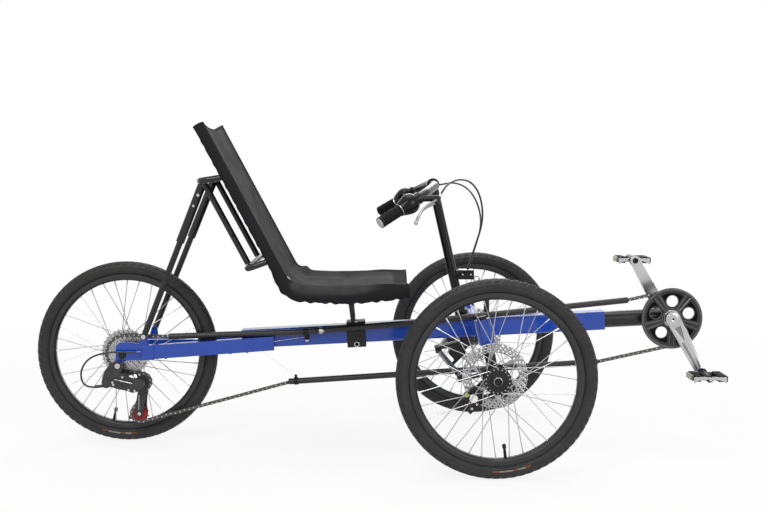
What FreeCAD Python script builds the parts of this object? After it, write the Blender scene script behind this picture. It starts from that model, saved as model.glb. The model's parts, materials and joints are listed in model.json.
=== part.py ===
"""Recumbent tadpole trike with two steered front wheels and one driven rear wheel.

Millimetres, +X forward, +Y to the rider's left, +Z up. The wheels stand on z = 0.
Stations along X are measured from the front axle, as a frame builder measures them; each
sub-part's Placement then carries it to the middle of the machine's length.
"""
import FreeCAD, Part
import math
import os
import Sketcher
from FreeCAD import Placement, Rotation, Vector

doc = FreeCAD.newDocument("RecumbentTrike")

# ---------------------------------------------------------------- driving dimensions
SIZES = {
    # wheels
    "wheelbase": 958.0,
    "track": 760.0,
    "tyre_radius": 243.0,
    "tyre_section": 40.0,
    "tyre_wall": 3.6,
    "rim_edge_radius": 209.0,
    "rim_seat_radius": 203.0,
    "rim_inner_radius": 192.0,
    "rim_width": 24.0,
    "rim_wall": 1.9,
    "spoke_count": 36,
    "spoke_radius": 1.0,
    "front_flange_radius": 33.0,
    "rear_flange_radius": 30.0,
    "front_axle_radius": 6.0,
    "rear_axle_radius": 5.0,
    "hub_shell_radius": 17.0,
    "hub_flange_width": 3.4,
    "running_gap": 0.3,
    "seat_gap": 0.3,
    # frame
    "main_tube_size": 50.0,
    "main_tube_wall": 2.5,
    "main_tube_corner": 7.0,
    "main_tube_slope": 3.4,
    "main_tube_height": 318.0,
    "main_tube_rear": -648.0,
    "main_tube_front": 321.0,
    "boom_radius": 22.0,
    "boom_wall": 2.0,
    "crank_reach": 495.0,
    "bottom_bracket_radius": 21.0,
    "bottom_bracket_width": 68.0,
    "chainstay_height": 37.0,
    "chainstay_width": 18.0,
    "chainstay_wall": 2.0,
    "dropout_spacing": 135.0,
    "dropout_thickness": 6.0,
    "outrigger_radius": 18.5,
    "outrigger_wall": 2.0,
    "kingpin_offset": 300.0,
    "kingpin_head_radius": 19.5,
    "kingpin_head_length": 62.0,
    "kingpin_radius": 8.0,
    "steering_rake": 13.2,
    "steering_arm": 82.0,
    "tie_rod_spread": 14.0,
    "tie_rod_radius": 7.0,
    "column_radius": 12.5,
    "column_height": 682.0,
    "head_tube_radius": 21.0,
    "head_tube_wall": 3.0,
    # seat
    "seat_half_width": 190.0,
    "seat_rail_radius": 11.0,
    "seat_rail_wall": 1.6,
    "seat_bend_radius": 70.0,
    "seat_sling_thickness": 4.0,
    "hoop_radius": 8.0,
    "stay_upper_radius": 11.0,
    "stay_lower_radius": 8.0,
    # drive
    "chain_pitch": 12.7,
    "chain_line": 40.0,
    "ring_teeth": 36,
    "cog_teeth": 24,
    "chain_roller_radius": 3.85,
    "roller_gap": 0.5,
    "chain_tube_radius": 8.0,
    "chain_tube_wall": 1.5,
    "guard_radius": 81.0,
    "crank_length": 165.0,
    "crank_angle": -61.0,
    "pedal_length": 92.0,
    "pedal_width": 84.0,
    "rotor_radius": 80.0,
    "rotor_thickness": 2.0,
    # cockpit
    "bar_radius": 11.1,
    "bar_wall": 2.0,
    "grip_radius": 15.5,
}

sheet = doc.addObject("Spreadsheet::Sheet", "Dims")
for row, (alias, number) in enumerate(SIZES.items(), start=1):
    sheet.set(f"A{row}", alias)
    sheet.set(f"B{row}", str(number))
    sheet.setAlias(f"B{row}", alias)
doc.recompute()


def size(expression):
    """The value of an expression on the sheet's aliases, in millimetres or degrees."""
    return float(sheet.evalExpression(expression.replace("Dims.", "")))


# ---------------------------------------------------------------- worked-out places
REAR_AXLE = Vector(-sheet.wheelbase, 0, sheet.tyre_radius)
SLOPE = math.radians(sheet.main_tube_slope)
RAKE = math.radians(sheet.steering_rake)
CRANK_ANGLE = math.radians(sheet.crank_angle)


def spine(x, y=0.0, above=0.0):
    """A point on the main tube's centre line at station x, lifted square to the tube."""
    height = sheet.main_tube_height + x * math.tan(SLOPE)
    return Vector(x - above * math.sin(SLOPE), y, height + above * math.cos(SLOPE))


CRANK_AXLE = spine(sheet.crank_reach)
PEDAL_DROP = sheet.crank_length * math.sin(CRANK_ANGLE)
PEDAL_REACH = sheet.crank_length * math.cos(CRANK_ANGLE)
FRONT_REACH = sheet.crank_reach + PEDAL_REACH + sheet.pedal_length / 2
REAR_REACH = sheet.wheelbase + sheet.tyre_radius
ORIGIN_STATION = (FRONT_REACH - REAR_REACH) / 2
STEER_UP = Vector(-math.sin(RAKE), 0, math.cos(RAKE))
STEER_BACK = Vector(-math.cos(RAKE), 0, -math.sin(RAKE))

nodes = []


def settle(thing, base=Vector(), rotation=Rotation()):
    """Gives a sub-part its Placement: base and rotation, carried to the origin's station."""
    thing.Placement = Placement(base - Vector(ORIGIN_STATION, 0, 0), rotation)


def keep(thing, label):
    """Lists a finished object as a sub-part that is exported under its label."""
    thing.Label = label
    nodes.append(thing)
    return thing


# ---------------------------------------------------------------- ways of making
def make_sketch(body, name, role="XY_Plane"):
    """A sketch on one of the body's own origin planes."""
    sketch = body.newObject("Sketcher::SketchObject", name)
    plane = next(f for f in body.Origin.OriginFeatures if f.Role == role)
    sketch.AttachmentSupport = [(plane, "")]
    sketch.MapMode = "FlatFace"
    return sketch


def bind(sketch, kind, expression, *where):
    """Adds a dimension to a sketch and binds it to an expression on the sheet."""
    number = sketch.addConstraint(Sketcher.Constraint(kind, *where, size(expression)))
    sketch.setExpression(f"Constraints[{number}]", expression)


def pin_point(sketch, edge, end, x, y):
    """Ties one end (or the centre) of an edge to a place given by two expressions."""
    bind(sketch, "DistanceX", x, -1, 1, edge, end)
    bind(sketch, "DistanceY", y, -1, 1, edge, end)


def draw_outline(sketch, corners):
    """A closed outline. A corner is (x, y), or (x, y, radius, side) where the edge that
    starts there is an arc whose centre lies to the left (side 1) or right (side -1)."""
    places = [Vector(size(corner[0]), size(corner[1]), 0) for corner in corners]
    ends = []
    for i, corner in enumerate(corners):
        start = places[i]
        stop = places[(i + 1) % len(places)]
        if len(corner) == 2:
            edge = sketch.addGeometry(Part.LineSegment(start, stop), False)
            ends.append((edge, 1, 2))
            continue
        radius, side = size(corner[2]), corner[3]
        chord = stop - start
        rise = math.sqrt(max(radius ** 2 - (chord.Length / 2) ** 2, 0))
        across = Vector(-chord.y, chord.x, 0).normalize() * side
        centre = (start + stop) * 0.5 + across * rise
        first, last = (start, stop) if side > 0 else (stop, start)
        angles = [math.atan2((p - centre).y, (p - centre).x) for p in (first, last)]
        circle = Part.Circle(centre, Vector(0, 0, 1), radius)
        edge = sketch.addGeometry(Part.ArcOfCircle(circle, *angles), False)
        ends.append((edge, 1, 2) if side > 0 else (edge, 2, 1))
    for i, corner in enumerate(corners):
        edge, start_end, stop_end = ends[i]
        following, next_start, _ = ends[(i + 1) % len(ends)]
        sketch.addConstraint(Sketcher.Constraint("Coincident", edge, stop_end, following, next_start))
        pin_point(sketch, edge, start_end, corner[0], corner[1])
        if len(corner) == 4:
            bind(sketch, "Radius", corner[2], edge)


def draw_circle(sketch, x, y, radius):
    """A circle with its centre and radius bound to the sheet."""
    shape = Part.Circle(Vector(size(x), size(y), 0), Vector(0, 0, 1), size(radius))
    edge = sketch.addGeometry(shape, False)
    pin_point(sketch, edge, 3, x, y)
    bind(sketch, "Radius", radius, edge)


def turned(label, corners, base, rotation=Rotation()):
    """A body turned about Y from a half section drawn as (radius, place along Y)."""
    body = doc.addObject("PartDesign::Body", label)
    section = make_sketch(body, label + "_section")
    draw_outline(section, corners)
    turn = body.newObject("PartDesign::Revolution", label + "_turn")
    turn.Profile = section
    turn.ReferenceAxis = (section, ["V_Axis"])
    turn.Angle = 360
    settle(body, base, rotation)
    return body


def plate(label, corners, thickness, holes=(), base=Vector(), rotation=Rotation()):
    """A flat plate standing in X and Z, its thickness centred on Y, with round holes."""
    body = doc.addObject("PartDesign::Body", label)
    outline = make_sketch(body, label + "_outline", "XZ_Plane")
    draw_outline(outline, corners)
    for hole in holes:
        draw_circle(outline, *hole)
    pad = body.newObject("PartDesign::Pad", label + "_pad")
    pad.Profile = outline
    pad.Midplane = True
    pad.setExpression("Length", thickness)
    settle(body, base, rotation)
    return body


def aim(start, end):
    """The turn that carries +Z onto the direction from start to end."""
    return Rotation(Vector(0, 0, 1), end - start)


def tube(label, start, end, radius, wall):
    """A straight round tube between two points, radius and wall bound to the sheet."""
    body = doc.addObject("PartDesign::Body", label)
    section = make_sketch(body, label + "_section")
    draw_circle(section, "0", "0", radius)
    if wall is not None:
        draw_circle(section, "0", "0", f"{radius} - {wall}")
    pad = body.newObject("PartDesign::Pad", label + "_pad")
    pad.Profile = section
    pad.Length = (end - start).Length
    settle(body, start, aim(start, end))
    return body


def shaped(label, shape):
    """A sub-part whose shape is worked out in place, in stations from the front axle."""
    feature = doc.addObject("Part::Feature", label)
    feature.Shape = shape
    settle(feature)
    return feature


def rod(start, end, radius):
    """A solid round bar between two points."""
    return Part.makeCylinder(radius, (end - start).Length, start, end - start)


def hollow(start, end, radius, bore):
    """A round bar with a bore through it."""
    reach = (end - start).normalize()
    return rod(start, end, radius).cut(rod(start - reach, end + reach, bore))


def merge(shapes):
    """Several overlapping solids made one."""
    whole = shapes[0].fuse(shapes[1:])
    return whole.removeSplitter()


def path_of(points, bend):
    """Straight runs through points, joined by arcs of radius bend or what the runs allow."""
    edges = []
    last = points[0]
    for before, corner, after in zip(points, points[1:], points[2:]):
        inward = (corner - before).normalize()
        outward = (after - corner).normalize()
        half_turn = inward.getAngle(outward) / 2
        shortest = min((corner - before).Length, (after - corner).Length)
        setback = min(bend * math.tan(half_turn), 0.45 * shortest)
        radius = setback / math.tan(half_turn)
        start = corner - inward * setback
        stop = corner + outward * setback
        lean = (outward - inward).normalize()
        middle = corner + lean * (radius / math.cos(half_turn) - radius)
        edges.append(Part.LineSegment(last, start).toShape())
        edges.append(Part.Arc(start, middle, stop).toShape())
        last = stop
    edges.append(Part.LineSegment(last, points[-1]).toShape())
    return Part.Wire(edges)


def swept(points, bend, radius, bore=0.0):
    """A round bar or tube bent along points."""
    route = path_of(points, bend)
    start = points[0]
    heading = points[1] - points[0]
    solids = []
    for ring in [radius] + ([bore] if bore else []):
        section = Part.Wire(Part.Circle(start, heading, ring).toShape())
        solids.append(route.makePipeShell([section], True, False))
    return solids[0].cut(solids[1]) if bore else solids[0]


SIDES = (("right", -1), ("left", 1))

# ---------------------------------------------------------------- wheels
TYRE_CENTRE = "(Dims.tyre_radius - Dims.tyre_section / 2)"
BEAD = "(Dims.rim_width / 2 - Dims.rim_wall - Dims.seat_gap)"


def make_tyre(label, base):
    """An open casing: a round outside and inside that end in two beads in the rim."""
    bead_foot = "Dims.rim_seat_radius + Dims.seat_gap"
    outer = "Dims.tyre_section / 2"
    inner = "Dims.tyre_section / 2 - Dims.tyre_wall"
    knee = "Dims.rim_edge_radius + 1"
    widest = f"{TYRE_CENTRE}"
    corners = [
        (bead_foot, f"-{BEAD}"),
        (bead_foot, f"-{BEAD} + Dims.tyre_wall"),
        (knee, f"-{BEAD} + Dims.tyre_wall"),
        (widest, f"-({inner})"),
        (f"{TYRE_CENTRE} + {inner}", "0"),
        (widest, inner),
        (knee, f"{BEAD} - Dims.tyre_wall"),
        (bead_foot, f"{BEAD} - Dims.tyre_wall"),
        (bead_foot, BEAD),
        (knee, BEAD),
        (widest, outer),
        ("Dims.tyre_radius", "0"),
        (widest, f"-({outer})"),
        (knee, f"-{BEAD}"),
    ]
    corners[3] += (inner, 1)
    corners[4] += (inner, 1)
    corners[10] += (outer, -1)
    corners[11] += (outer, -1)
    return turned(label, corners, base)


def make_rim(label, base):
    """A double-walled rim section: flat inner face, sloped sides and two hooked edges."""
    half = "Dims.rim_width / 2"
    corners = [
        ("Dims.rim_inner_radius", "-6"),
        ("Dims.rim_inner_radius", "6"),
        ("Dims.rim_inner_radius + 6", half),
        ("Dims.rim_edge_radius", half),
        ("Dims.rim_edge_radius", f"{half} - Dims.rim_wall"),
        ("Dims.rim_seat_radius", f"{half} - Dims.rim_wall"),
        ("Dims.rim_seat_radius - 2", "4"),
        ("Dims.rim_seat_radius - 2", "-4"),
        ("Dims.rim_seat_radius", f"-({half} - Dims.rim_wall)"),
        ("Dims.rim_edge_radius", f"-({half} - Dims.rim_wall)"),
        ("Dims.rim_edge_radius", f"-({half})"),
        ("Dims.rim_inner_radius + 6", f"-({half})"),
    ]
    return turned(label, corners, base)


def make_spokes(label, base, flange_radius, flanges):
    """Spokes laced three-cross from two flanges, alternately outside and inside them."""
    count = int(sheet.spoke_count)
    step = 360.0 / count
    lacing = 6 * step
    stand_off = sheet.hub_flange_width / 2 + sheet.spoke_radius + 3 * sheet.seat_gap
    hole_circle = flange_radius - 1.5
    rim_circle = sheet.rim_inner_radius - sheet.seat_gap
    spokes = []
    for side, flange in enumerate(flanges):
        outward = math.copysign(1, flange)
        for k in range(count // 2):
            leading = 1 if k % 2 == 0 else -1
            hub_angle = math.radians(2 * step * k + step * side)
            rim_angle = hub_angle + leading * math.radians(lacing)
            foot = Vector(hole_circle * math.cos(hub_angle), 0, hole_circle * math.sin(hub_angle))
            head = Vector(rim_circle * math.cos(rim_angle), 0, rim_circle * math.sin(rim_angle))
            foot.y = flange + outward * leading * stand_off
            head.y = outward * (3.0 + 1.2 * leading)
            spokes.append(rod(foot, head, sheet.spoke_radius))
    feature = doc.addObject("Part::Feature", label)
    feature.Shape = Part.makeCompound(spokes)
    settle(feature, base)
    return feature


def hub_section(bore, ends, bosses, flange_radius, flanges):
    """The half section of a hub: ends and bosses outside two flanges on a thin shell."""
    half = "Dims.hub_flange_width / 2"
    low, high = flanges
    return [
        (bore, ends[0]),
        (bosses[0], ends[0]),
        (bosses[0], f"{low} - {half}"),
        (flange_radius, f"{low} - {half}"),
        (flange_radius, f"{low} + {half}"),
        ("Dims.hub_shell_radius", f"{low} + {half}"),
        ("Dims.hub_shell_radius", f"{high} - {half}"),
        (flange_radius, f"{high} - {half}"),
        (flange_radius, f"{high} + {half}"),
        (bosses[1], f"{high} + {half}"),
        (bosses[1], ends[1]),
        (bore, ends[1]),
    ]


# A hub's places along its axle, from the wheel's middle plane, outboard positive.
FRONT_HUB = {"ends": ("-44", "34"), "bosses": ("22", "14"), "flanges": (-26.0, 26.0)}
REAR_HUB = {"ends": ("-62", "62"), "bosses": ("17.5", "13"), "flanges": (-21.0, 30.0)}
ROTOR_PLACE = -45.0

# A rotor's piercings: a row of drilled holes is (radius of the row, count, turn, hole radius).
ROTOR_HOLES = ((74.5, 24, 0.0, 2.6), (68.5, 24, 7.5, 2.2))
ROTOR_ARMS = 6
ROTOR_WINDOW = (26.0, 60.0)


def rotor_piercings():
    """Drilled rows near the rim and the windows that leave slanted arms between them."""
    deep = sheet.rotor_thickness + 2
    low = ROTOR_PLACE - deep / 2
    tools = []
    for row, count, turn, radius in ROTOR_HOLES:
        for k in range(count):
            angle = math.radians(turn + 360.0 * k / count)
            place = Vector(row * math.cos(angle), low, row * math.sin(angle))
            tools.append(Part.makeCylinder(radius, deep, place, Vector(0, 1, 0)))
    inner, outer = ROTOR_WINDOW
    sector = 2 * math.pi / ROTOR_ARMS
    for k in range(ROTOR_ARMS):
        start = k * sector

        def at(radius, share, lean):
            angle = start + sector * share + lean
            return Vector(radius * math.cos(angle), low, radius * math.sin(angle))

        lean = 0.55
        edges = [
            Part.Arc(at(inner, 0.18, 0), at(inner, 0.5, 0), at(inner, 0.82, 0)).toShape(),
            Part.LineSegment(at(inner, 0.82, 0), at(outer, 0.92, lean)).toShape(),
            Part.Arc(at(outer, 0.92, lean), at(outer, 0.5, lean), at(outer, 0.08, lean)).toShape(),
            Part.LineSegment(at(outer, 0.08, lean), at(inner, 0.18, 0)).toShape(),
        ]
        tools.append(Part.Face(Part.Wire(edges)).extrude(Vector(0, deep, 0)))
    return tools


for name, side in SIDES:
    centre = Vector(0, side * sheet.track / 2, sheet.tyre_radius)
    outboard = Rotation(Vector(0, 0, 1), 0 if side > 0 else 180)
    keep(make_tyre(f"{name}_front_tyre", centre), f"{name}_front_tyre")
    keep(make_rim(f"{name}_front_rim", centre), f"{name}_front_rim")
    flanges = [side * place for place in FRONT_HUB["flanges"]]
    spokes = make_spokes(f"{name}_front_spokes", centre, sheet.front_flange_radius, flanges)
    keep(spokes, f"{name}_front_spokes")
    section = hub_section("Dims.front_axle_radius + Dims.running_gap", FRONT_HUB["ends"],
                          FRONT_HUB["bosses"], "Dims.front_flange_radius", FRONT_HUB["flanges"])
    keep(turned(f"{name}_front_hub", section, centre, outboard), f"{name}_front_hub")
    half = "Dims.rotor_thickness / 2"
    ring = [
        ("17", f"{ROTOR_PLACE} - {half}"),
        ("Dims.rotor_radius", f"{ROTOR_PLACE} - {half}"),
        ("Dims.rotor_radius", f"{ROTOR_PLACE} + {half}"),
        ("17", f"{ROTOR_PLACE} + {half}"),
    ]
    blank = turned(f"{name}_rotor_blank", ring, centre, outboard)
    piercing = doc.addObject("Part::Feature", f"{name}_rotor_piercing")
    piercing.Shape = Part.makeCompound(rotor_piercings())
    settle(piercing, centre, outboard)
    pierced = doc.addObject("Part::Cut", f"{name}_brake_rotor")
    pierced.Base = blank
    pierced.Tool = piercing
    keep(pierced, f"{name}_brake_rotor")

keep(make_tyre("rear_tyre", REAR_AXLE), "rear_tyre")
keep(make_rim("rear_rim", REAR_AXLE), "rear_rim")
keep(make_spokes("rear_spokes", REAR_AXLE, sheet.rear_flange_radius, REAR_HUB["flanges"]),
     "rear_spokes")
section = hub_section("Dims.rear_axle_radius + Dims.running_gap", REAR_HUB["ends"],
                      REAR_HUB["bosses"], "Dims.rear_flange_radius", REAR_HUB["flanges"])
keep(turned("rear_hub", section, REAR_AXLE), "rear_hub")

# ---------------------------------------------------------------- cassette
COG_TEETH = (11, 13, 15, 18, 21, 24, 28, 32)
COG_SPACING = 4.8
COG_THICKNESS = 1.8


def sprocket(teeth, thickness, bore, place, phase=0.0):
    """A toothed wheel about Y: a hollow for each roller and a tapered tooth between."""
    pitch_radius = sheet.chain_pitch / 2 / math.sin(math.pi / teeth)
    seat = sheet.chain_roller_radius + sheet.roller_gap
    tip = pitch_radius + 2.6
    step = 2 * math.pi / teeth

    def at(radius, angle):
        return Vector(radius * math.cos(angle), place, radius * math.sin(angle))

    edges = []
    flank = seat / pitch_radius
    for k in range(teeth):
        middle = phase + k * step
        low = at(pitch_radius, middle - flank)
        deep = at(pitch_radius - seat, middle)
        high = at(pitch_radius, middle + flank)
        crest = at(tip, middle + step / 2 - 0.09 * step)
        crest_end = at(tip, middle + step / 2 + 0.09 * step)
        following = at(pitch_radius, middle + step - flank)
        edges.append(Part.Arc(low, deep, high).toShape())
        for start, stop in ((high, crest), (crest, crest_end), (crest_end, following)):
            edges.append(Part.LineSegment(start, stop).toShape())
    face = Part.Face(Part.Wire(edges))
    centre = Vector(0, place, 0)
    disc = face.extrude(Vector(0, thickness, 0))
    hole = Part.makeCylinder(bore, thickness + 2, centre - Vector(0, 1, 0), Vector(0, 1, 0))
    return disc.cut(hole)


CASSETTE_BORE = 17.5 + sheet.seat_gap
cogs = []
for place, teeth in enumerate(COG_TEETH):
    ahead = COG_TEETH.index(int(sheet.cog_teeth)) - place
    middle = -sheet.chain_line - ahead * COG_SPACING
    cogs.append(sprocket(teeth, COG_THICKNESS, CASSETTE_BORE, middle - COG_THICKNESS / 2, math.pi))
    if place:
        start = Vector(0, middle - COG_SPACING + COG_THICKNESS / 2, 0)
        cogs.append(hollow(start, start + Vector(0, COG_SPACING - COG_THICKNESS, 0), 21.0, CASSETTE_BORE))
feature = doc.addObject("Part::Feature", "cassette")
feature.Shape = merge(cogs)
settle(feature, REAR_AXLE)
keep(feature, "cassette")

# ---------------------------------------------------------------- main frame
HALF_TUBE = sheet.main_tube_size / 2
steerer = spine(-52.0)

body = doc.addObject("PartDesign::Body", "main_tube_blank")
section = make_sketch(body, "main_tube_section", "YZ_Plane")
wide, corner = "Dims.main_tube_size / 2", "Dims.main_tube_corner"
inside = f"({wide} - Dims.main_tube_wall)"
inner_corner = f"({corner} - Dims.main_tube_wall)"
for edge, bend in ((wide, corner), (inside, inner_corner)):
    draw_outline(section, [
        (f"{edge} - {bend}", f"-{edge}", bend, 1), (edge, f"-{edge} + {bend}"),
        (edge, f"{edge} - {bend}", bend, 1), (f"{edge} - {bend}", edge),
        (f"-{edge} + {bend}", edge, bend, 1), (f"-{edge}", f"{edge} - {bend}"),
        (f"-{edge}", f"-{edge} + {bend}", bend, 1), (f"-{edge} + {bend}", f"-{edge}"),
    ])
pad = body.newObject("PartDesign::Pad", "main_tube_pad")
pad.Profile = section
pad.setExpression("Length", "(Dims.main_tube_front - Dims.main_tube_rear) / cos(Dims.main_tube_slope)")
settle(body, spine(sheet.main_tube_rear), Rotation(Vector(0, 1, 0), -sheet.main_tube_slope))
head_top = steerer + STEER_UP * (HALF_TUBE + 8)
head_foot = steerer - STEER_UP * (HALF_TUBE + 8)
socket = shaped("head_tube_socket", rod(head_foot - STEER_UP * 20, head_top + STEER_UP * 20,
                                        sheet.head_tube_radius + sheet.seat_gap))
bored = doc.addObject("Part::Cut", "main_tube")
bored.Base = body
bored.Tool = socket
keep(bored, "main_tube")

race = "Dims.column_radius + Dims.running_gap"
reach = f"{HALF_TUBE + 8}"
bore = "Dims.head_tube_radius - Dims.head_tube_wall"
section = [(race, f"-{reach}"), ("Dims.head_tube_radius", f"-{reach}"), ("Dims.head_tube_radius", reach),
           (race, reach), (race, f"{reach} - 12"), (bore, f"{reach} - 12"),
           (bore, f"-{reach} + 12"), (race, f"-{reach} + 12")]
turn_up = Rotation(Vector(0, 1, 0), STEER_UP)
keep(turned("head_tube", section, steerer, turn_up), "head_tube")

# Outriggers run square out from the main tube to the kingpin heads.
OUTRIGGER_X = -16.0
HEAD_LIFT = 106.0
kingpin = {}
for name, side in SIDES:
    axle = Vector(0, side * sheet.kingpin_offset, sheet.tyre_radius)
    middle = axle + STEER_UP * HEAD_LIFT
    kingpin[side] = axle
    inner = spine(OUTRIGGER_X, side * (HALF_TUBE + 2 * sheet.seat_gap + 0.2))
    outer = Vector(OUTRIGGER_X - 3, side * (sheet.kingpin_offset - 16), inner.z + 6)
    half_head = STEER_UP * (sheet.kingpin_head_length / 2)
    bore_radius = sheet.kingpin_radius + sheet.running_gap
    arm = hollow(inner, outer, sheet.outrigger_radius, sheet.outrigger_radius - sheet.outrigger_wall)
    head = rod(middle - half_head, middle + half_head, sheet.kingpin_head_radius)
    well = rod(middle - half_head * 2, middle + half_head * 2, bore_radius)
    keep(shaped(f"{name}_outrigger", merge([arm.cut(head), head]).cut(well)), f"{name}_outrigger")

# The boom slides in the front of the main tube and carries the bottom bracket.
boom_foot = spine(sheet.main_tube_front - 60)
boom_tip = spine(sheet.crank_reach - sheet.bottom_bracket_radius - sheet.seat_gap)
keep(tube("boom", boom_foot, boom_tip, "Dims.boom_radius", "Dims.boom_wall"), "boom")
half_shell = "Dims.bottom_bracket_width / 2"
spindle_bore = "8.5 + Dims.running_gap"
section = [(spindle_bore, f"-{half_shell}"), ("Dims.bottom_bracket_radius", f"-{half_shell}"),
           ("Dims.bottom_bracket_radius", half_shell), (spindle_bore, half_shell),
           (spindle_bore, f"{half_shell} - 12"), ("16", f"{half_shell} - 12"),
           ("16", f"-{half_shell} + 12"), (spindle_bore, f"-{half_shell} + 12")]
keep(turned("bottom_bracket", section, CRANK_AXLE), "bottom_bracket")

# ---------------------------------------------------------------- rear triangle
HALF_SPACING = sheet.dropout_spacing / 2
for name, side in SIDES:
    nose = Vector(-562, side * (HALF_TUBE + sheet.chainstay_width / 2 + 0.6), 272.5)
    tail = Vector(-886.5, side * (HALF_SPACING - 5.5), 250.8)
    along = (tail - nose).normalize()
    upward = Vector(0, 0, 1)
    sideways = along.cross(upward).normalize()
    upright = sideways.cross(along).normalize()

    def stay_box(width, height, lengthen):
        corners = [nose - along * lengthen + sideways * (a * width / 2) + upright * (b * height / 2)
                   for a, b in ((-1, -1), (1, -1), (1, 1), (-1, 1))]
        face = Part.Face(Part.makePolygon(corners + corners[:1]))
        return face.extrude(along * ((tail - nose).Length + 2 * lengthen))

    wall = sheet.chainstay_wall
    outside = stay_box(sheet.chainstay_width, sheet.chainstay_height, 0)
    inside = stay_box(sheet.chainstay_width - 2 * wall, sheet.chainstay_height - 2 * wall, 1)
    keep(shaped(f"{name}_chainstay", outside.cut(inside)), f"{name}_chainstay")

    # Rounded end over the axle, gusset up to the seat stay's bolt, hanger tab on the right.
    corners = [("0", "-16", "16", -1), ("-16", "0"), ("-18", "15", "20.3", -1), ("2", "35"), ("46", "33"),
               ("51", "52", "8.2", -1), ("67", "52"), ("70", "27"), ("70", "-12")]
    if side < 0:
        corners[0:2] = [("2", "-14"), ("0", "-26", "10.2", -1), ("-20", "-26"), ("-18", "-6")]
    holes = [("0", "0", "Dims.rear_axle_radius + Dims.seat_gap"), ("59", "52", "3.3")]
    middle = Vector(REAR_AXLE.x, side * (HALF_SPACING + sheet.dropout_thickness / 2), REAR_AXLE.z)
    blank = plate(f"{name}_dropout_plate", corners, "Dims.dropout_thickness", holes, middle)
    if side > 0:
        keep(blank, f"{name}_dropout")
        continue
    cable_stop = Vector(-912, -HALF_SPACING - 20, 254)
    post_foot = cable_stop + Vector(0, 16, 0)
    half_socket = Vector(6, 0, 0)
    socket = rod(cable_stop + half_socket, cable_stop - half_socket, 4.5)
    post = shaped("cable_stop_post", merge([rod(post_foot, cable_stop, 3.5), socket]))
    joined = doc.addObject("Part::Fuse", f"{name}_dropout")
    joined.Base = blank
    joined.Tool = post
    joined.Refine = True
    keep(joined, f"{name}_dropout")

outer_face = HALF_SPACING + sheet.dropout_thickness + sheet.seat_gap
axle_parts = [rod(Vector(0, -outer_face - 7, 0), Vector(0, outer_face + 7, 0), sheet.rear_axle_radius)]
for side in (-1, 1):
    axle_parts.append(rod(Vector(0, side * outer_face, 0), Vector(0, side * (outer_face + 5), 0), 9.5))
    inner = HALF_SPACING - sheet.seat_gap
    axle_parts.append(rod(Vector(0, side * inner, 0), Vector(0, side * 62.5, 0), 8.0))
feature = doc.addObject("Part::Feature", "rear_axle")
feature.Shape = merge(axle_parts)
settle(feature, REAR_AXLE)
keep(feature, "rear_axle")

# ---------------------------------------------------------------- seat
SEAT_Y = sheet.seat_half_width
RAIL = sheet.seat_rail_radius
rail_line = [Vector(-738, 0, 847), Vector(-511, 0, 427), Vector(-360, 0, 421), Vector(-207, 0, 436)]
for name, side in SIDES:
    route = [Vector(p.x, side * SEAT_Y, p.z) for p in rail_line]
    rail = swept(route, sheet.seat_bend_radius, RAIL, RAIL - sheet.seat_rail_wall)
    keep(shaped(f"{name}_seat_rail", rail), f"{name}_seat_rail")

inner_y = SEAT_Y - RAIL - sheet.seat_gap
back_line = (rail_line[0] - rail_line[1]).normalize()
# The crossbars lie a little under the rails' centre line, so that the sling can sag above them.
BAR_DROP = 6.0
back_face = Vector(0, 1, 0).cross(back_line)
cross_places = [rail_line[0] - back_line * 16 - back_face * BAR_DROP, rail_line[1] + Vector(2.7, 0, 4.5),
                rail_line[2] - Vector(0, 0, BAR_DROP), rail_line[3] - Vector(14, 0, 1.5 + BAR_DROP)]
bars = [hollow(Vector(p.x, -inner_y, p.z), Vector(p.x, inner_y, p.z), 8.0, 6.5) for p in cross_places]
keep(shaped("seat_crossbars", Part.makeCompound(bars)), "seat_crossbars")


def sling(label, low, high, lift):
    """A flat fabric panel between the rails, lifted off the crossbars."""
    along = (high - low).normalize()
    upward = Vector(0, -1, 0).cross(along)
    half = SEAT_Y - RAIL - 1.0
    start = low + upward * lift
    corners = [start + Vector(0, -half, 0), start + Vector(0, half, 0),
               start + Vector(0, half, 0) + along * (high - low).Length,
               start + Vector(0, -half, 0) + along * (high - low).Length]
    face = Part.Face(Part.makePolygon(corners + corners[:1]))
    return shaped(label, face.extrude(upward * sheet.seat_sling_thickness))


back_low = rail_line[1] + (rail_line[0] - rail_line[1]).normalize() * 48
back_high = rail_line[0] - (rail_line[0] - rail_line[1]).normalize() * 2
base_low = rail_line[1] + (rail_line[2] - rail_line[1]).normalize() * 46
SLING_LIFT = 8.0 - BAR_DROP + sheet.seat_gap
keep(sling("seat_back", back_high, back_low, SLING_LIFT), "seat_back")
base = sling("seat_base_panel", base_low, rail_line[2], SLING_LIFT)
front = sling("seat_front_panel", rail_line[2], rail_line[3], SLING_LIFT)
join = doc.addObject("Part::Fuse", "seat_base_fuse")
join.Base = base
join.Tool = front
doc.recompute()
keep(join, "seat_base")

upper_hoop, lower_hoop = Vector(-737, 0, 706), Vector(-617, 0, 485)
hoops = []
for along, knee in ((330.0, upper_hoop), (92.0, lower_hoop)):
    rail_centre = rail_line[1] + back_line * along
    toward = (knee - rail_centre).normalize()
    leave = rail_centre + toward * ((RAIL + sheet.seat_gap) / abs(toward.cross(back_line).Length) + 2.6)
    half = [leave + Vector(0, -SEAT_Y, 0), knee + Vector(0, -SEAT_Y, 0)]
    route = half + [Vector(p.x, -p.y, p.z) for p in reversed(half)]
    hoops.append(swept(route, 32.0, sheet.hoop_radius))
keep(shaped("seat_hoops", Part.makeCompound(hoops)), "seat_hoops")

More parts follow.
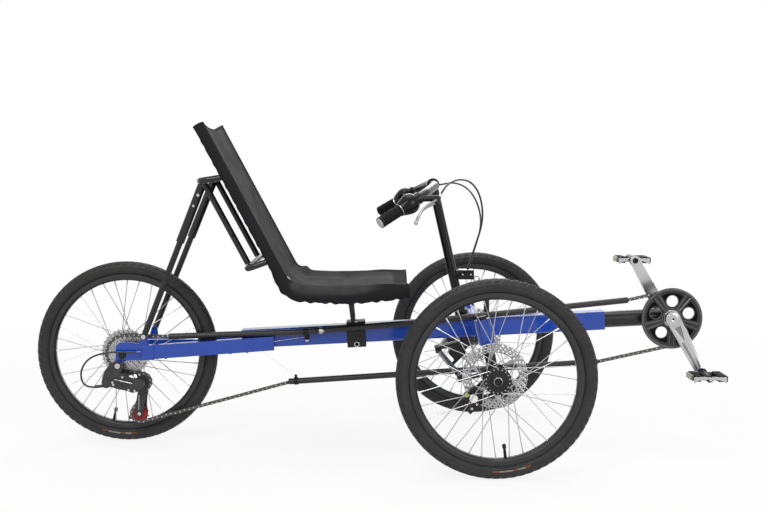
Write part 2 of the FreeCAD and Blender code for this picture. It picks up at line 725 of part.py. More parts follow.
down = (lower_hoop - upper_hoop).normalize()
struts = []
for side in (-1, 1):
    across = Vector(0, side * 122, 0)
    seat = down * (sheet.hoop_radius + sheet.seat_gap)
    strut = rod(upper_hoop + across + seat, lower_hoop + across - seat, sheet.hoop_radius)
    struts.append(strut)
keep(shaped("seat_struts", Part.makeCompound(struts)), "seat_struts")

stays = []
for side in (-1, 1):
    foot = Vector(-899, side * (outer_face + sheet.stay_lower_radius), 295)
    top = upper_hoop + Vector(0, side * 104, 0)
    toward = (top - foot).normalize()
    top = top - toward * (sheet.hoop_radius + 0.4)
    middle = foot + toward * ((top - foot).Length * 0.62)
    lower = rod(foot, middle + toward * 40, sheet.stay_lower_radius)
    upper = rod(middle, top, sheet.stay_upper_radius)
    bolt_start = Vector(foot.x, side * (HALF_SPACING - 1), foot.z)
    bolt = rod(bolt_start, Vector(foot.x, side * (outer_face + 18), foot.z), 3.0)
    stays.append(merge([lower, upper, bolt]))
keep(shaped("seat_stays", Part.makeCompound(stays)), "seat_stays")

clamp_middle = spine(-343)
block = Part.makeBox(50, 60, 68, Vector(-25, -30, -36))
window = Part.makeBox(60, sheet.main_tube_size + 0.6, sheet.main_tube_size + 0.6,
                      Vector(-30, -HALF_TUBE - 0.3, -HALF_TUBE - 0.3))
feature = doc.addObject("Part::Feature", "seat_clamp")
feature.Shape = block.cut(window)
settle(feature, clamp_middle, Rotation(Vector(0, 1, 0), -sheet.main_tube_slope))
keep(feature, "seat_clamp")
legs = []
for side in (-1, 1):
    foot = spine(-350, side * 16, 32 + sheet.seat_gap + 6)
    head = cross_places[2] + Vector(0, side * 50, -8.3 - 3.2)
    legs.append(rod(foot, head, 6.5))
pad = rod(spine(-350, -24, 38.6), spine(-350, 24, 38.6), 6.3)
keep(shaped("seat_post", merge(legs + [pad])), "seat_post")

# ---------------------------------------------------------------- steering knuckles
BALL_LIFT = 5.0
ARM_THICKNESS = 8.0
ROD_END_RADIUS = 9.0
ROD_END_HEIGHT = 8.0
PIN_RADIUS = 3.0


def steering_ball(pivot, side, lift):
    """The tie rod pin's place: back from a steering axis and out to its own side."""
    outward = Vector(0, side * sheet.tie_rod_spread, 0)
    return pivot + STEER_UP * lift + STEER_BACK * sheet.steering_arm + outward


rotor_y = sheet.track / 2 + ROTOR_PLACE
outer_ball = {}
for name, side in SIDES:
    axle = kingpin[side]
    sideways = Vector(0, side, 0)
    head_low = HEAD_LIFT - sheet.kingpin_head_length / 2
    head_high = HEAD_LIFT + sheet.kingpin_head_length / 2
    pin = rod(axle + STEER_UP * (head_low - 12), axle + STEER_UP * (head_high + 1), sheet.kingpin_radius)
    cap = rod(axle + STEER_UP * (head_high + 0.5), axle + STEER_UP * (head_high + 7), 12.0)
    upright = rod(axle - STEER_UP * 16, axle + STEER_UP * (head_low - 0.5), 13.5)
    hub_reach = sheet.track / 2 - sheet.kingpin_offset
    collar = rod(axle, axle + sideways * (hub_reach - 44.5), 10.0)
    stub = rod(axle, axle + sideways * (hub_reach + 37), sheet.front_axle_radius)
    nut_start = hub_reach + 34.5
    nut = rod(axle + sideways * nut_start, axle + sideways * (nut_start + 5), 9.5)
    ball = steering_ball(axle, side, BALL_LIFT)
    outer_ball[side] = ball
    root = axle + STEER_UP * BALL_LIFT
    across = STEER_UP.cross(ball - root).normalize()
    half_arm = STEER_UP * (ARM_THICKNESS / 2)
    blade = Part.makePolygon([root + across * 11 - half_arm, ball + across * 8 - half_arm,
                              ball - across * 8 - half_arm, root - across * 11 - half_arm,
                              root + across * 11 - half_arm])
    arm = Part.Face(blade).extrude(half_arm * 2)
    eye = rod(ball - half_arm, ball + half_arm, ROD_END_RADIUS)
    tie_pin = rod(ball, ball + half_arm + STEER_UP * (ROD_END_HEIGHT + 1), PIN_RADIUS)
    # The caliper straddles the rotor behind and below the axle, on an arm of the knuckle.
    mount = Part.makeBox(22, 10, 64, Vector(-11, 0, 0))
    gap = sheet.seat_gap
    mount_seat = Part.makeBox(22 + 2 * gap, 10 + gap, 64 + gap, Vector(-11 - gap, 0, 0))
    caliper = Part.makeBox(38, 38.5, 40, Vector(-19, 0, 52))
    caliper = caliper.makeFillet(7.0, [edge for edge in caliper.Edges if edge.tangentAt(0).y ** 2 > 0.9])
    caliper = caliper.cut([Part.makeBox(60, 5, 34, Vector(-30, 20, 50)), mount_seat])
    cable_arm = Part.makeBox(9, 7, 44, Vector(-24, 27, 64))
    knob = rod(Vector(0, 38.5, 70), Vector(0, 41.5, 70), 9.0)
    caliper = merge([caliper, knob, cable_arm])
    inner_face = abs(rotor_y) - 22.5 - sheet.kingpin_offset
    for piece in (mount, caliper):
        piece.rotate(Vector(0, 0, 0), Vector(0, 1, 0), -135)
    if side < 0:
        mount = mount.mirror(Vector(0, 0, 0), Vector(0, 1, 0))
        caliper = caliper.mirror(Vector(0, 0, 0), Vector(0, 1, 0))
    for piece in (mount, caliper):
        piece.translate(axle + sideways * inner_face)
    solid = merge([upright, pin, cap, collar, stub, nut, arm, eye, tie_pin, mount])
    keep(shaped(f"{name}_knuckle", solid), f"{name}_knuckle")
    keep(shaped(f"{name}_caliper", Part.makeCompound([caliper])), f"{name}_caliper")

# ---------------------------------------------------------------- steering column
PITMAN_DROP = HALF_TUBE + 8 + 1.5 + ARM_THICKNESS / 2
pitman_root = steerer - STEER_UP * PITMAN_DROP
column_foot = steerer - STEER_UP * (PITMAN_DROP + ARM_THICKNESS / 2 + 4)
column_top = steerer + STEER_UP * ((sheet.column_height - steerer.z) / math.cos(RAKE))
column = rod(column_foot, column_top, sheet.column_radius)
collar = rod(steerer + STEER_UP * (HALF_TUBE + 9), steerer + STEER_UP * (HALF_TUBE + 21), 18.0)
bar_centre = column_top + STEER_UP * 15
stem = hollow(bar_centre - Vector(0, 22, 0), bar_centre + Vector(0, 22, 0), 17.0,
              sheet.bar_radius + sheet.seat_gap)
bracket_foot = steerer + STEER_UP * 128
bracket_top = 468.0
bracket = Part.makeBox(48, 28, 24, Vector(bracket_foot.x + 4, -14, bracket_top - 24))
bar_reach = Vector(0, 30, 0)
bar_space = rod(bar_centre - bar_reach, bar_centre + bar_reach, sheet.bar_radius + sheet.seat_gap)
keep(shaped("steering_column", merge([column, collar, stem, bracket]).cut(bar_space)), "steering_column")

pieces = []
inner_ball = {}
half_arm = STEER_UP * (ARM_THICKNESS / 2)
boss = rod(pitman_root - half_arm, pitman_root + half_arm, 20.0)
pieces.append(boss)
for side in (-1, 1):
    ball = steering_ball(pitman_root, side, 0)
    across = Vector(0, side, 0)
    outline = Part.makePolygon([pitman_root + across * 16 - half_arm, ball + across * 8 - half_arm,
                                ball - across * 14 - half_arm, pitman_root - half_arm,
                                pitman_root + across * 16 - half_arm])
    pieces.append(Part.Face(outline).extrude(half_arm * 2))
    pieces.append(rod(ball - half_arm, ball + half_arm, ROD_END_RADIUS))
    pieces.append(rod(ball, ball - half_arm - STEER_UP * (ROD_END_HEIGHT + 1), PIN_RADIUS))
    inner_ball[side] = ball
plate_shape = merge(pieces).cut(rod(pitman_root - half_arm * 3, pitman_root + half_arm * 3,
                                    sheet.column_radius + sheet.seat_gap))
keep(shaped("pitman_arm", plate_shape), "pitman_arm")

for name, side in SIDES:
    gap = STEER_UP * (ARM_THICKNESS / 2 + 0.5 + ROD_END_HEIGHT / 2)
    inner = inner_ball[side] - gap
    outer = outer_ball[side] + gap
    half_end = STEER_UP * (ROD_END_HEIGHT / 2)
    ends = []
    for place in (inner, outer):
        ends.append(rod(place - half_end, place + half_end, ROD_END_RADIUS))
    toward = (outer - inner).normalize()
    bar = rod(inner + toward * 4, outer - toward * 4, sheet.tie_rod_radius - 3)
    sleeve = rod(inner + toward * 34, outer - toward * 34, sheet.tie_rod_radius)
    shape = merge([bar, sleeve] + ends)
    for place, clearance in ((inner, sheet.running_gap), (outer, 0.6)):
        shape = shape.cut(rod(place - half_end * 3, place + half_end * 3, PIN_RADIUS + clearance))
    keep(shaped(f"{name}_tie_rod", shape), f"{name}_tie_rod")

# ---------------------------------------------------------------- handlebar
bar_line = [Vector(-278, -290, 612), Vector(-172, -226, 678), bar_centre + Vector(0, -120, 0)]
bar_line += [bar_centre + Vector(0, 120, 0)] + [Vector(p.x, -p.y, p.z) for p in reversed(bar_line[:2])]
bar = swept(bar_line, 60.0, sheet.bar_radius, sheet.bar_radius - sheet.bar_wall)
keep(shaped("handlebar", bar), "handlebar")

grips, shifters, levers = [], [], []
lever_pivot = {}
for side in (-1, 1):
    end = Vector(-278, side * 290, 612)
    bend = Vector(-172, side * 226, 678)
    inward = (bend - end).normalize()
    bore = sheet.bar_radius + sheet.seat_gap
    grip = hollow(end - inward * 0.5, end + inward * 58, sheet.grip_radius, bore)
    cap = rod(end - inward * 5, end - inward * 0.4, sheet.grip_radius)
    grips.append(merge([grip, cap]))
    shifters.append(hollow(end + inward * 58.5, end + inward * 96, 19.0, bore))
    mount = end + inward * 107
    clamp = rod(mount - inward * 6, mount + inward * 6, 16.0)
    pivot = Vector(-140, side * 228, 664)
    lever_pivot[side] = pivot
    arm = rod(mount + (pivot - mount).normalize() * 13, pivot, 6.0)
    boss = rod(pivot - Vector(0, 0, 7), pivot + Vector(0, 0, 7), 8.0)
    blade = swept([pivot, Vector(-172, side * 262, 646), Vector(-194, side * 300, 611)], 30.0, 4.0)
    barrel = rod(pivot, pivot + Vector(0.5, -side * 0.3, 0.8).normalize() * 18, 3.5)
    bar_space = rod(end, bend, bore)
    levers.append(merge([clamp, arm, boss, blade, barrel]).cut(bar_space))
keep(shaped("handgrips", Part.makeCompound(grips)), "handgrips")
keep(shaped("twist_shifters", Part.makeCompound(shifters)), "twist_shifters")
keep(shaped("brake_levers", Part.makeCompound(levers)), "brake_levers")

# ---------------------------------------------------------------- crankset
SPINDLE_RADIUS = 8.5
ring = sprocket(int(sheet.ring_teeth), 2.4, 62.0, -sheet.chain_line - 1.2)
guard_y = -sheet.chain_line - 8.0
guard = hollow(Vector(0, guard_y, 0), Vector(0, guard_y + 3, 0), sheet.guard_radius, 22.0)
holes = []
for k in range(5):
    angle = math.radians(90 + 72 * k)
    place = Vector(46 * math.cos(angle), guard_y - 1, 46 * math.sin(angle))
    holes.append(Part.makeCylinder(15, 5, place, Vector(0, 1, 0)))
    pocket = [Vector(radius * math.cos(angle + lean), guard_y - 1, radius * math.sin(angle + lean))
              for radius, lean in ((30, -0.28), (66, -0.45), (68, 0), (66, 0.45), (30, 0.28), (28.5, 0))]
    edges = [Part.LineSegment(pocket[0], pocket[1]), Part.Arc(pocket[1], pocket[2], pocket[3]),
             Part.LineSegment(pocket[3], pocket[4]), Part.Arc(pocket[4], pocket[5], pocket[0])]
    face = Part.Face(Part.Wire([edge.toShape() for edge in edges]))
    holes.append(face.extrude(Vector(0, 1 + 1.4, 0)))
guard = guard.cut(holes)
posts = []
for k in range(5):
    angle = math.radians(54 + 72 * k)
    place = Vector(64 * math.cos(angle), guard_y + 2.5, 64 * math.sin(angle))
    posts.append(Part.makeCylinder(3.5, 6, place, Vector(0, 1, 0)))
feature = doc.addObject("Part::Feature", "chainring")
feature.Shape = merge([ring, guard] + posts)
settle(feature, CRANK_AXLE)
keep(feature, "chainring")

crank_parts = [rod(Vector(0, -56, 0), Vector(0, 56, 0), SPINDLE_RADIUS)]
pedal_axle = {}
for side in (-1, 1):
    reach = Vector(PEDAL_REACH, 0, PEDAL_DROP) * (-side)
    centre = Vector(0, side * 57, 0)
    half_boss, half_arm = Vector(0, 7, 0), Vector(0, 6, 0)
    crank_parts.append(rod(centre - half_boss, centre + half_boss, 19.5))
    eye = centre + reach
    crank_parts.append(rod(eye - half_boss, eye + half_boss, 14.0))
    along = (eye - centre).normalize()
    across = Vector(reach.z, 0, -reach.x).normalize()
    outline = Part.makePolygon([centre + across * 19 - half_arm, eye + across * 13 - half_arm,
                                eye - across * 13 - half_arm, centre - across * 19 - half_arm,
                                centre + across * 19 - half_arm])
    blade = Part.Face(outline).extrude(half_arm * 2)
    # A three-cornered pocket in the outer face, with its point towards the pedal.
    floor = centre + Vector(0, side * 1.5, 0)
    pocket = [floor + along * 25 - across * 9, floor + along * 25 + across * 9, floor + along * 66]
    recess = Part.Face(Part.makePolygon(pocket + pocket[:1])).extrude(Vector(0, side * 8, 0))
    crank_parts.append(blade.cut(recess))
    pedal_axle[side] = eye
crank_parts.append(rod(Vector(0, guard_y, 0), Vector(0, -36.5, 0), 21.0))
for side in (-1, 1):
    eye = pedal_axle[side]
    crank_parts.append(rod(eye, eye + Vector(0, side * (12 + sheet.pedal_width), 0), 5.0))
crank = merge(crank_parts)
feature = doc.addObject("Part::Feature", "crankset")
feature.Shape = crank
settle(feature, CRANK_AXLE)
keep(feature, "crankset")

for name, side in SIDES:
    centre = CRANK_AXLE + pedal_axle[side] + Vector(0, side * (8 + sheet.pedal_width / 2), 0)
    length, width = sheet.pedal_length, sheet.pedal_width
    frame = Part.makeBox(length, width, 24, Vector(-length / 2, -width / 2, -12))
    for sign in (-1, 1):
        opening = Part.makeBox(length / 2 - 20, width - 14, 30,
                               Vector(12 if sign > 0 else -length / 2 + 8, -width / 2 + 7, -15))
        frame = frame.cut(opening)
    bore = Part.makeCylinder(5.1, width + 20, Vector(0, -width / 2 - 10, 0), Vector(0, 1, 0))
    pedal = frame.cut(bore)
    feature = doc.addObject("Part::Feature", f"{name}_pedal")
    feature.Shape = pedal
    settle(feature, centre)
    keep(feature, f"{name}_pedal")

# ---------------------------------------------------------------- chain run
CHAIN_Y = -sheet.chain_line
RING_RADIUS = sheet.chain_pitch / 2 / math.sin(math.pi / sheet.ring_teeth)
COG_RADIUS = sheet.chain_pitch / 2 / math.sin(math.pi / sheet.cog_teeth)
PULLEY_TEETH = 11
PULLEY_RADIUS = sheet.chain_pitch / 2 / math.sin(math.pi / PULLEY_TEETH)
GUIDE_PULLEY = REAR_AXLE + Vector(46, 0, -76)
TENSION_PULLEY = REAR_AXLE + Vector(38, 0, -162)
UPPER_TUBE = [Vector(-841, CHAIN_Y, 289), Vector(-481, CHAIN_Y, 304), Vector(-203, CHAIN_Y, 329),
              Vector(90, CHAIN_Y, 362), Vector(378, CHAIN_Y, 395)]
LOWER_TUBE = [Vector(-522, CHAIN_Y, 170), Vector(-150, CHAIN_Y, 196), Vector(301, CHAIN_Y, 229)]
TUBE_BORE = sheet.chain_tube_radius - sheet.chain_tube_wall

chain_tubes = [swept(route, 900, sheet.chain_tube_radius, TUBE_BORE) for route in (UPPER_TUBE, LOWER_TUBE)]
keep(shaped("chain_tubes", Part.makeCompound(chain_tubes)), "chain_tubes")


def tangent_point(centre, radius, point, side):
    """Where the line from a point meets a circle in the chain's plane. Side 1 leaves the
    circle to the left of the line from the point, -1 to the right."""
    offset = point - centre
    distance = math.hypot(offset.x, offset.z)
    angle = math.atan2(offset.z, offset.x) + side * math.acos(radius / distance)
    return centre + Vector(radius * math.cos(angle), 0, radius * math.sin(angle))


def walk_circle(centre, radius, start_angle, stop_angle):
    """Roller places round a sprocket from one angle to another, one pitch apart."""
    step = 2 * math.asin(sheet.chain_pitch / 2 / radius)
    count = int(abs(stop_angle - start_angle) / step + 0.001)
    turn = math.copysign(step, stop_angle - start_angle)
    return [centre + Vector(radius * math.cos(start_angle + k * turn), 0,
                            radius * math.sin(start_angle + k * turn)) for k in range(count + 1)]


def walk_line(start, toward, limit):
    """Roller places on a straight run that leaves start, up to a length of limit."""
    heading = (toward - start).normalize()
    return [start + heading * (sheet.chain_pitch * k) for k in range(1, int(limit / sheet.chain_pitch) + 1)]


def in_chain_plane(point):
    return Vector(point.x, CHAIN_Y, point.z)


def chain_strand(rollers):
    """Rollers with inner and outer plates by turns: plain round bars and flat plates."""
    solids = []
    for k, (start, stop) in enumerate(zip(rollers, rollers[1:])):
        place = 1.7 if k % 2 else 2.6
        for y in (-place - 0.9, place):
            along = (stop - start).normalize()
            across = Vector(along.z, 0, -along.x)
            tail, tip = start - along * 3.4, stop + along * 3.4
            round_off = along * 1.6
            corners = [tail + across * 2, tail + round_off + across * 4,
                       tip - round_off + across * 4, tip + across * 2,
                       tip - across * 2, tip - round_off - across * 4,
                       tail + round_off - across * 4, tail - across * 2]
            face = Part.Face(Part.makePolygon([c + Vector(0, y, 0) for c in corners + corners[:1]]))
            solids.append(face.extrude(Vector(0, 0.9, 0)))
    for place in rollers:
        foot = place - Vector(0, 1.9, 0)
        solids.append(Part.makeCylinder(sheet.chain_roller_radius, 3.8, foot, Vector(0, 1, 0)))
    return merge(solids)


cog_centre = in_chain_plane(REAR_AXLE)
ring_centre = in_chain_plane(CRANK_AXLE)
guide_centre = in_chain_plane(GUIDE_PULLEY)
tension_centre = in_chain_plane(TENSION_PULLEY)

# Rear run: on the cog from its back, over the top to the upper tube, and the other way
# under the cog, round the guide pulley's front, the tension pulley's back, to the lower tube.
top_leave = tangent_point(cog_centre, COG_RADIUS, UPPER_TUBE[0], 1)
top_angle = math.atan2(top_leave.z - cog_centre.z, top_leave.x - cog_centre.x)
upper_wrap = walk_circle(cog_centre, COG_RADIUS, math.pi, top_angle)
upper_run = walk_line(upper_wrap[-1], UPPER_TUBE[0], (UPPER_TUBE[0] - upper_wrap[-1]).Length + 10)


def crossing_tangent(first, first_radius, second, second_radius, side):
    """The ends of the line that touches one circle on one side and the next on the other."""
    offset = second - first
    distance = math.hypot(offset.x, offset.z)
    angle = math.atan2(offset.z, offset.x) + side * math.acos((first_radius + second_radius) / distance)
    reach = Vector(math.cos(angle), 0, math.sin(angle))
    return first + reach * first_radius, second - reach * second_radius


def angle_of(point, centre):
    return math.atan2(point.z - centre.z, point.x - centre.x)


cog_leave, guide_meet = crossing_tangent(cog_centre, COG_RADIUS, guide_centre, PULLEY_RADIUS, -1)
guide_leave, tension_meet = crossing_tangent(guide_centre, PULLEY_RADIUS, tension_centre, PULLEY_RADIUS, 1)
tension_leave = tangent_point(tension_centre, PULLEY_RADIUS, LOWER_TUBE[0], -1)
lower_path = []


def sample_arc(centre, radius, start, stop, direction):
    """Points a millimetre apart round an arc; direction 1 is anticlockwise in X and Z."""
    sweep = (stop - start) * direction % (2 * math.pi)
    count = max(2, int(sweep * radius))
    angles = [start + direction * sweep * k / count for k in range(count + 1)]
    return [centre + Vector(radius * math.cos(a), 0, radius * math.sin(a)) for a in angles]


lower_path += sample_arc(cog_centre, COG_RADIUS, math.pi, angle_of(cog_leave, cog_centre), 1)
lower_path += sample_arc(guide_centre, PULLEY_RADIUS, angle_of(guide_meet, guide_centre),
                         angle_of(guide_leave, guide_centre), -1)
lower_path += sample_arc(tension_centre, PULLEY_RADIUS, angle_of(tension_meet, tension_centre),
                         angle_of(tension_leave, tension_centre), 1)
lower_path.append(LOWER_TUBE[0] + (LOWER_TUBE[1] - LOWER_TUBE[0]).normalize() * 10)


def step_along(path, pitch):
    """Places one pitch apart, each measured straight from the last, along a fine path."""
    places = [path[0]]
    for start, stop in zip(path, path[1:]):
        while (stop - places[-1]).Length >= pitch:
            heading = stop - start
            low, high = 0.0, 1.0
            for _ in range(30):
                middle = (low + high) / 2
                if (start + heading * middle - places[-1]).Length < pitch:
                    low = middle
                else:
                    high = middle
            places.append(start + heading * high)
            start = places[-1]
    return places


lower_run = step_along(lower_path, sheet.chain_pitch)
rear_rollers = list(reversed(upper_wrap + upper_run)) + lower_run[1:]

ring_top = tangent_point(ring_centre, RING_RADIUS, UPPER_TUBE[-1], -1)
ring_bottom = tangent_point(ring_centre, RING_RADIUS, LOWER_TUBE[-1], 1)
over = walk_circle(ring_centre, RING_RADIUS, 0.0, angle_of(ring_top, ring_centre))
under = walk_circle(ring_centre, RING_RADIUS, 0.0, angle_of(ring_bottom, ring_centre))
over += walk_line(over[-1], UPPER_TUBE[-1], (UPPER_TUBE[-1] - over[-1]).Length + 8)
under += walk_line(under[-1], LOWER_TUBE[-1], (LOWER_TUBE[-1] - under[-1]).Length + 8)
front_rollers = list(reversed(over)) + under[1:]
keep(shaped("chain", Part.makeCompound([chain_strand(rear_rollers), chain_strand(front_rollers)])), "chain")

# ---------------------------------------------------------------- derailleur
CAGE_FACES = (CHAIN_Y - 8.5, CHAIN_Y + 6.5)
CAGE_PLATE = 2.0
# Outlines of the derailleur's plates, forward and up from the rear axle.
OUTER_CAGE = ((33, -84), (34, -104), (31, -123), (28, -144), (27, -160), (32, -170), (43, -170), (49, -160),
              (49, -148), (54, -126), (59, -104), (60, -84), (55, -69), (42, -64), (35, -70))
INNER_CAGE = ((33, -84), (34, -104), (28, -128), (18, -146), (13, -160), (6, -176), (11, -180), (24, -176),
              (40, -184), (56, -176), (59, -160), (56, -140), (57, -120), (60, -100), (60, -84), (55, -69),
              (42, -64), (35, -70))
TOP_SHELL = ((0, -16), (-10, -13), (-20, -16), (-32, -24), (-43, -37), (-50, -54), (-53, -70), (-51, -83),
             (-40, -86), (-29, -82), (-24, -70), (-18, -58), (-6, -48), (0, -38), (2, -26))
LINK = ((-30, -64), (-30, -82), (-12, -88), (10, -92), (28, -98), (44, -94), (54, -84), (50, -70), (36, -62),
        (18, -56), (2, -46), (-12, -46))


def standing_plate(outline, y, thickness):
    """A flat plate in X and Z from an outline about the rear axle."""
    corners = [REAR_AXLE + Vector(x, y, z) for x, z in outline]
    return Part.Face(Part.makePolygon(corners + corners[:1])).extrude(Vector(0, thickness, 0))


cage = [standing_plate(OUTER_CAGE, CAGE_FACES[0], CAGE_PLATE),
        standing_plate(INNER_CAGE, CAGE_FACES[1], CAGE_PLATE)]
jockeys = []
for centre in (guide_centre, tension_centre):
    on_wheel = [place for place in rear_rollers if abs((place - centre).Length - PULLEY_RADIUS) < 0.05]
    middle = on_wheel[len(on_wheel) // 2]
    jockey = sprocket(PULLEY_TEETH, 3.0, 3.0, -1.5, angle_of(middle, centre))
    jockey.translate(centre)
    jockeys.append(jockey)
    cage.append(Part.makeCylinder(3.0 - sheet.running_gap, 15, centre - Vector(0, 7.5, 0), Vector(0, 1, 0)))
keep(shaped("derailleur_cage", Part.makeCompound([merge(cage)] + jockeys)), "derailleur_cage")

hanger = REAR_AXLE + Vector(-10, 0, -26)
hanger_face = -HALF_SPACING - sheet.dropout_thickness - sheet.seat_gap
top_shell = standing_plate(TOP_SHELL, hanger_face - 13, 13)
link = standing_plate(LINK, hanger_face - 11, 7)
lower_body = rod(GUIDE_PULLEY + Vector(0, hanger_face - 11, 0),
                 GUIDE_PULLEY + Vector(0, CAGE_FACES[0] - sheet.seat_gap, 0), 12.0)
bolt = rod(hanger + Vector(0, hanger_face - 17, 0), hanger + Vector(0, hanger_face, 0), 6.5)
barrel_root = REAR_AXLE + Vector(-46, hanger_face - 6.5, -80)
barrel_reach = Vector(-1, 0, -0.12).normalize()
barrel_mouth = barrel_root + barrel_reach * (26 + sheet.seat_gap)
barrel = rod(barrel_root, barrel_root + barrel_reach * 26, 4.0)
keep(shaped("derailleur", merge([top_shell, link, lower_body, bolt, barrel])), "derailleur")

post_foot = spine(8, 0, HALF_TUBE + 3 * sheet.seat_gap)
keep(tube("accessory_post", post_foot, post_foot + Vector(0, 0, 48), "7.5", "2"), "accessory_post")

# ---------------------------------------------------------------- cables
CABLE_RADIUS = 2.5


def cable(points):
    """A round cable housing along its route, with arcs as large as the runs allow."""
    return swept(points, 1000, CABLE_RADIUS)


loops = []
# (station, place across, height) of each brake cable's loop from its lever to the column.
RIGHT_LOOP = ((-112, 196, 704), (-80, 150, 716), (-44, 104, 706), (-18, 64, 668), (-8, 36, 606), (-26, 16, 536))
LEFT_LOOP = ((-108, 192, 692), (-74, 146, 700), (-38, 100, 684), (-14, 60, 642), (-6, 36, 586), (-26, 18, 528))
for side, rows in ((-1, RIGHT_LOOP), (1, LEFT_LOOP)):
    barrel_way = Vector(0.5, -side * 0.3, 0.8).normalize()
    start = lever_pivot[side] + barrel_way * (18 + 3 * sheet.seat_gap)
    points = [start, start + barrel_way * 12] + [Vector(x, side * y, z) for x, y, z in rows]
    points.append(Vector(-46, side * 8, bracket_top + 3 * sheet.seat_gap))
    loops.append(cable(points))
keep(shaped("control_cables", Part.makeCompound(loops)), "control_cables")
housing = [cable_stop + Vector(-6.3, 0, 0), Vector(-952, cable_stop.y, 254),
           Vector(-1000, cable_stop.y, 253),
           Vector(-1044, cable_stop.y, 238), Vector(-1066, cable_stop.y + 3, 205),
           Vector(-1064, cable_stop.y + 6, 172), barrel_mouth + barrel_reach * 16, barrel_mouth]
keep(shaped("shift_cable", cable(housing)), "shift_cable")

# ---------------------------------------------------------------- check and write
doc.recompute()
failed = [thing.Name for thing in doc.Objects if {"Invalid", "Error"} & set(thing.State)]
for thing in nodes:
    if thing.Shape.isNull() or not thing.Shape.isValid():
        failed.append(thing.Label)
if failed:
    raise SystemExit(f"these did not build: {failed}")

os.makedirs("parts", exist_ok=True)
for thing in nodes:
    thing.Shape.exportStep(f"parts/{thing.Label}.step")
print(f"{len(nodes)} sub-parts written")
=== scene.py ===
"""Looks of a recumbent trike: finishes, soft goods, small parts, light and camera.

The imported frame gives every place. Points along the machine are written in millimetres as
stations from the front axle, +Y to the rider's left, +Z up from the ground, and the class
Station carries them into the shared frame in metres.
"""
import json
import logging
import math
from dataclasses import dataclass, field
from enum import Enum
from functools import cache
from typing import Callable, ClassVar, Optional, Sequence, Union

import bmesh
import bpy
from mathutils import Matrix, Vector


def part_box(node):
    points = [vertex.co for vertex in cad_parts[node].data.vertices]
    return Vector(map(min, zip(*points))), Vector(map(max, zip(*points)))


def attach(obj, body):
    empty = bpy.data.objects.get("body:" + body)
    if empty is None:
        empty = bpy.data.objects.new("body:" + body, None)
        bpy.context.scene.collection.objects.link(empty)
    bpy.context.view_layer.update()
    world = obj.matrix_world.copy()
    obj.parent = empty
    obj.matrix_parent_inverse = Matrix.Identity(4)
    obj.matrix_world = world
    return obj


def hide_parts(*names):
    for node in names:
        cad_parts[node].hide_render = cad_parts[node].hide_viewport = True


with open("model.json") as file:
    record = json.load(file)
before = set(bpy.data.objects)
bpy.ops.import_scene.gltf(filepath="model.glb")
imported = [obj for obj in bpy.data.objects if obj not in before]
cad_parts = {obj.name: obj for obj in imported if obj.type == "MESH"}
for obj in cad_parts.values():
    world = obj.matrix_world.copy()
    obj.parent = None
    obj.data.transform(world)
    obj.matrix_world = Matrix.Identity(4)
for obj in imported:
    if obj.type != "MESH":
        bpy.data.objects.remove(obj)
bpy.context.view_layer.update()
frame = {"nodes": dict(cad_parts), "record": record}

log = logging.getLogger("trike")
Point = Sequence[float]
Color = tuple[float, float, float]
Shape = bmesh.types.BMesh

FRONT_AXLE_SHIFT = 290.0032
WHEEL_RADIUS = 243.0
REAR_STATION = -958.0
HALF_TRACK = 380.0
SIDES = (("right", -1), ("left", 1))
RIGHT = Vector((0, -1, 0))
LEFT = Vector((0, 1, 0))
DOWN = Vector((0, 0, -1))


class Station:
    """Turns millimetre stations into the shared frame."""

    @staticmethod
    def at(x: float, y: float, z: float) -> Vector:
        """A point in metres from a station, a side place and a height in millimetres."""
        return Vector(((x + FRONT_AXLE_SHIFT) / 1000, y / 1000, z / 1000))

    @staticmethod
    def of(point: Point) -> Vector:
        """The same for a point given as one triple."""
        return Station.at(*point)


def around(angle: float, radius: float, across: float = 0.0) -> Vector:
    """A point from a wheel's centre: an angle in radians, a radius and a place across."""
    return Vector((radius * math.cos(angle), across, radius * math.sin(angle)))


def lever_pivot(side: int) -> Vector:
    """A brake lever's pivot as a station in millimetres."""
    return Vector((-140, side * 228, 664))


def cable_way(side: int) -> Vector:
    """The direction in which a brake cable leaves its lever."""
    return Vector((0.5, -side * 0.3, 0.8)).normalized()


# ------------------------------------------------------------------ finishes
class Effect(Enum):
    """What the fine surface of a finish looks like."""

    SMOOTH = "smooth"
    BRUSHED = "brushed"
    WEAVE = "weave"


class Wiring:
    """Adds nodes to one shader tree, each with its settings and wires in one call."""

    def __init__(self, tree: bpy.types.NodeTree) -> None:
        """Keeps the tree."""
        self.tree = tree

    def feed(self, node: bpy.types.Node, inputs: dict) -> bpy.types.Node:
        """Wires every input that gets a socket and sets every input that gets a value."""
        for label, value in inputs.items():
            if isinstance(value, bpy.types.NodeSocket):
                self.tree.links.new(value, node.inputs[label])
            else:
                node.inputs[label].default_value = value
        return node

    def add(self, kind: str, inputs: dict, **settings: object) -> bpy.types.Node:
        """A new node.

        Args:
            kind: its type, without the ShaderNode in front.
            inputs: its inputs by name or number, as feed takes them.
            settings: the node's own settings, made before its inputs.

        Returns:
            The node.
        """
        node = self.tree.nodes.new(f"ShaderNode{kind}")
        for label, value in settings.items():
            setattr(node, label, value)
        return self.feed(node, inputs)


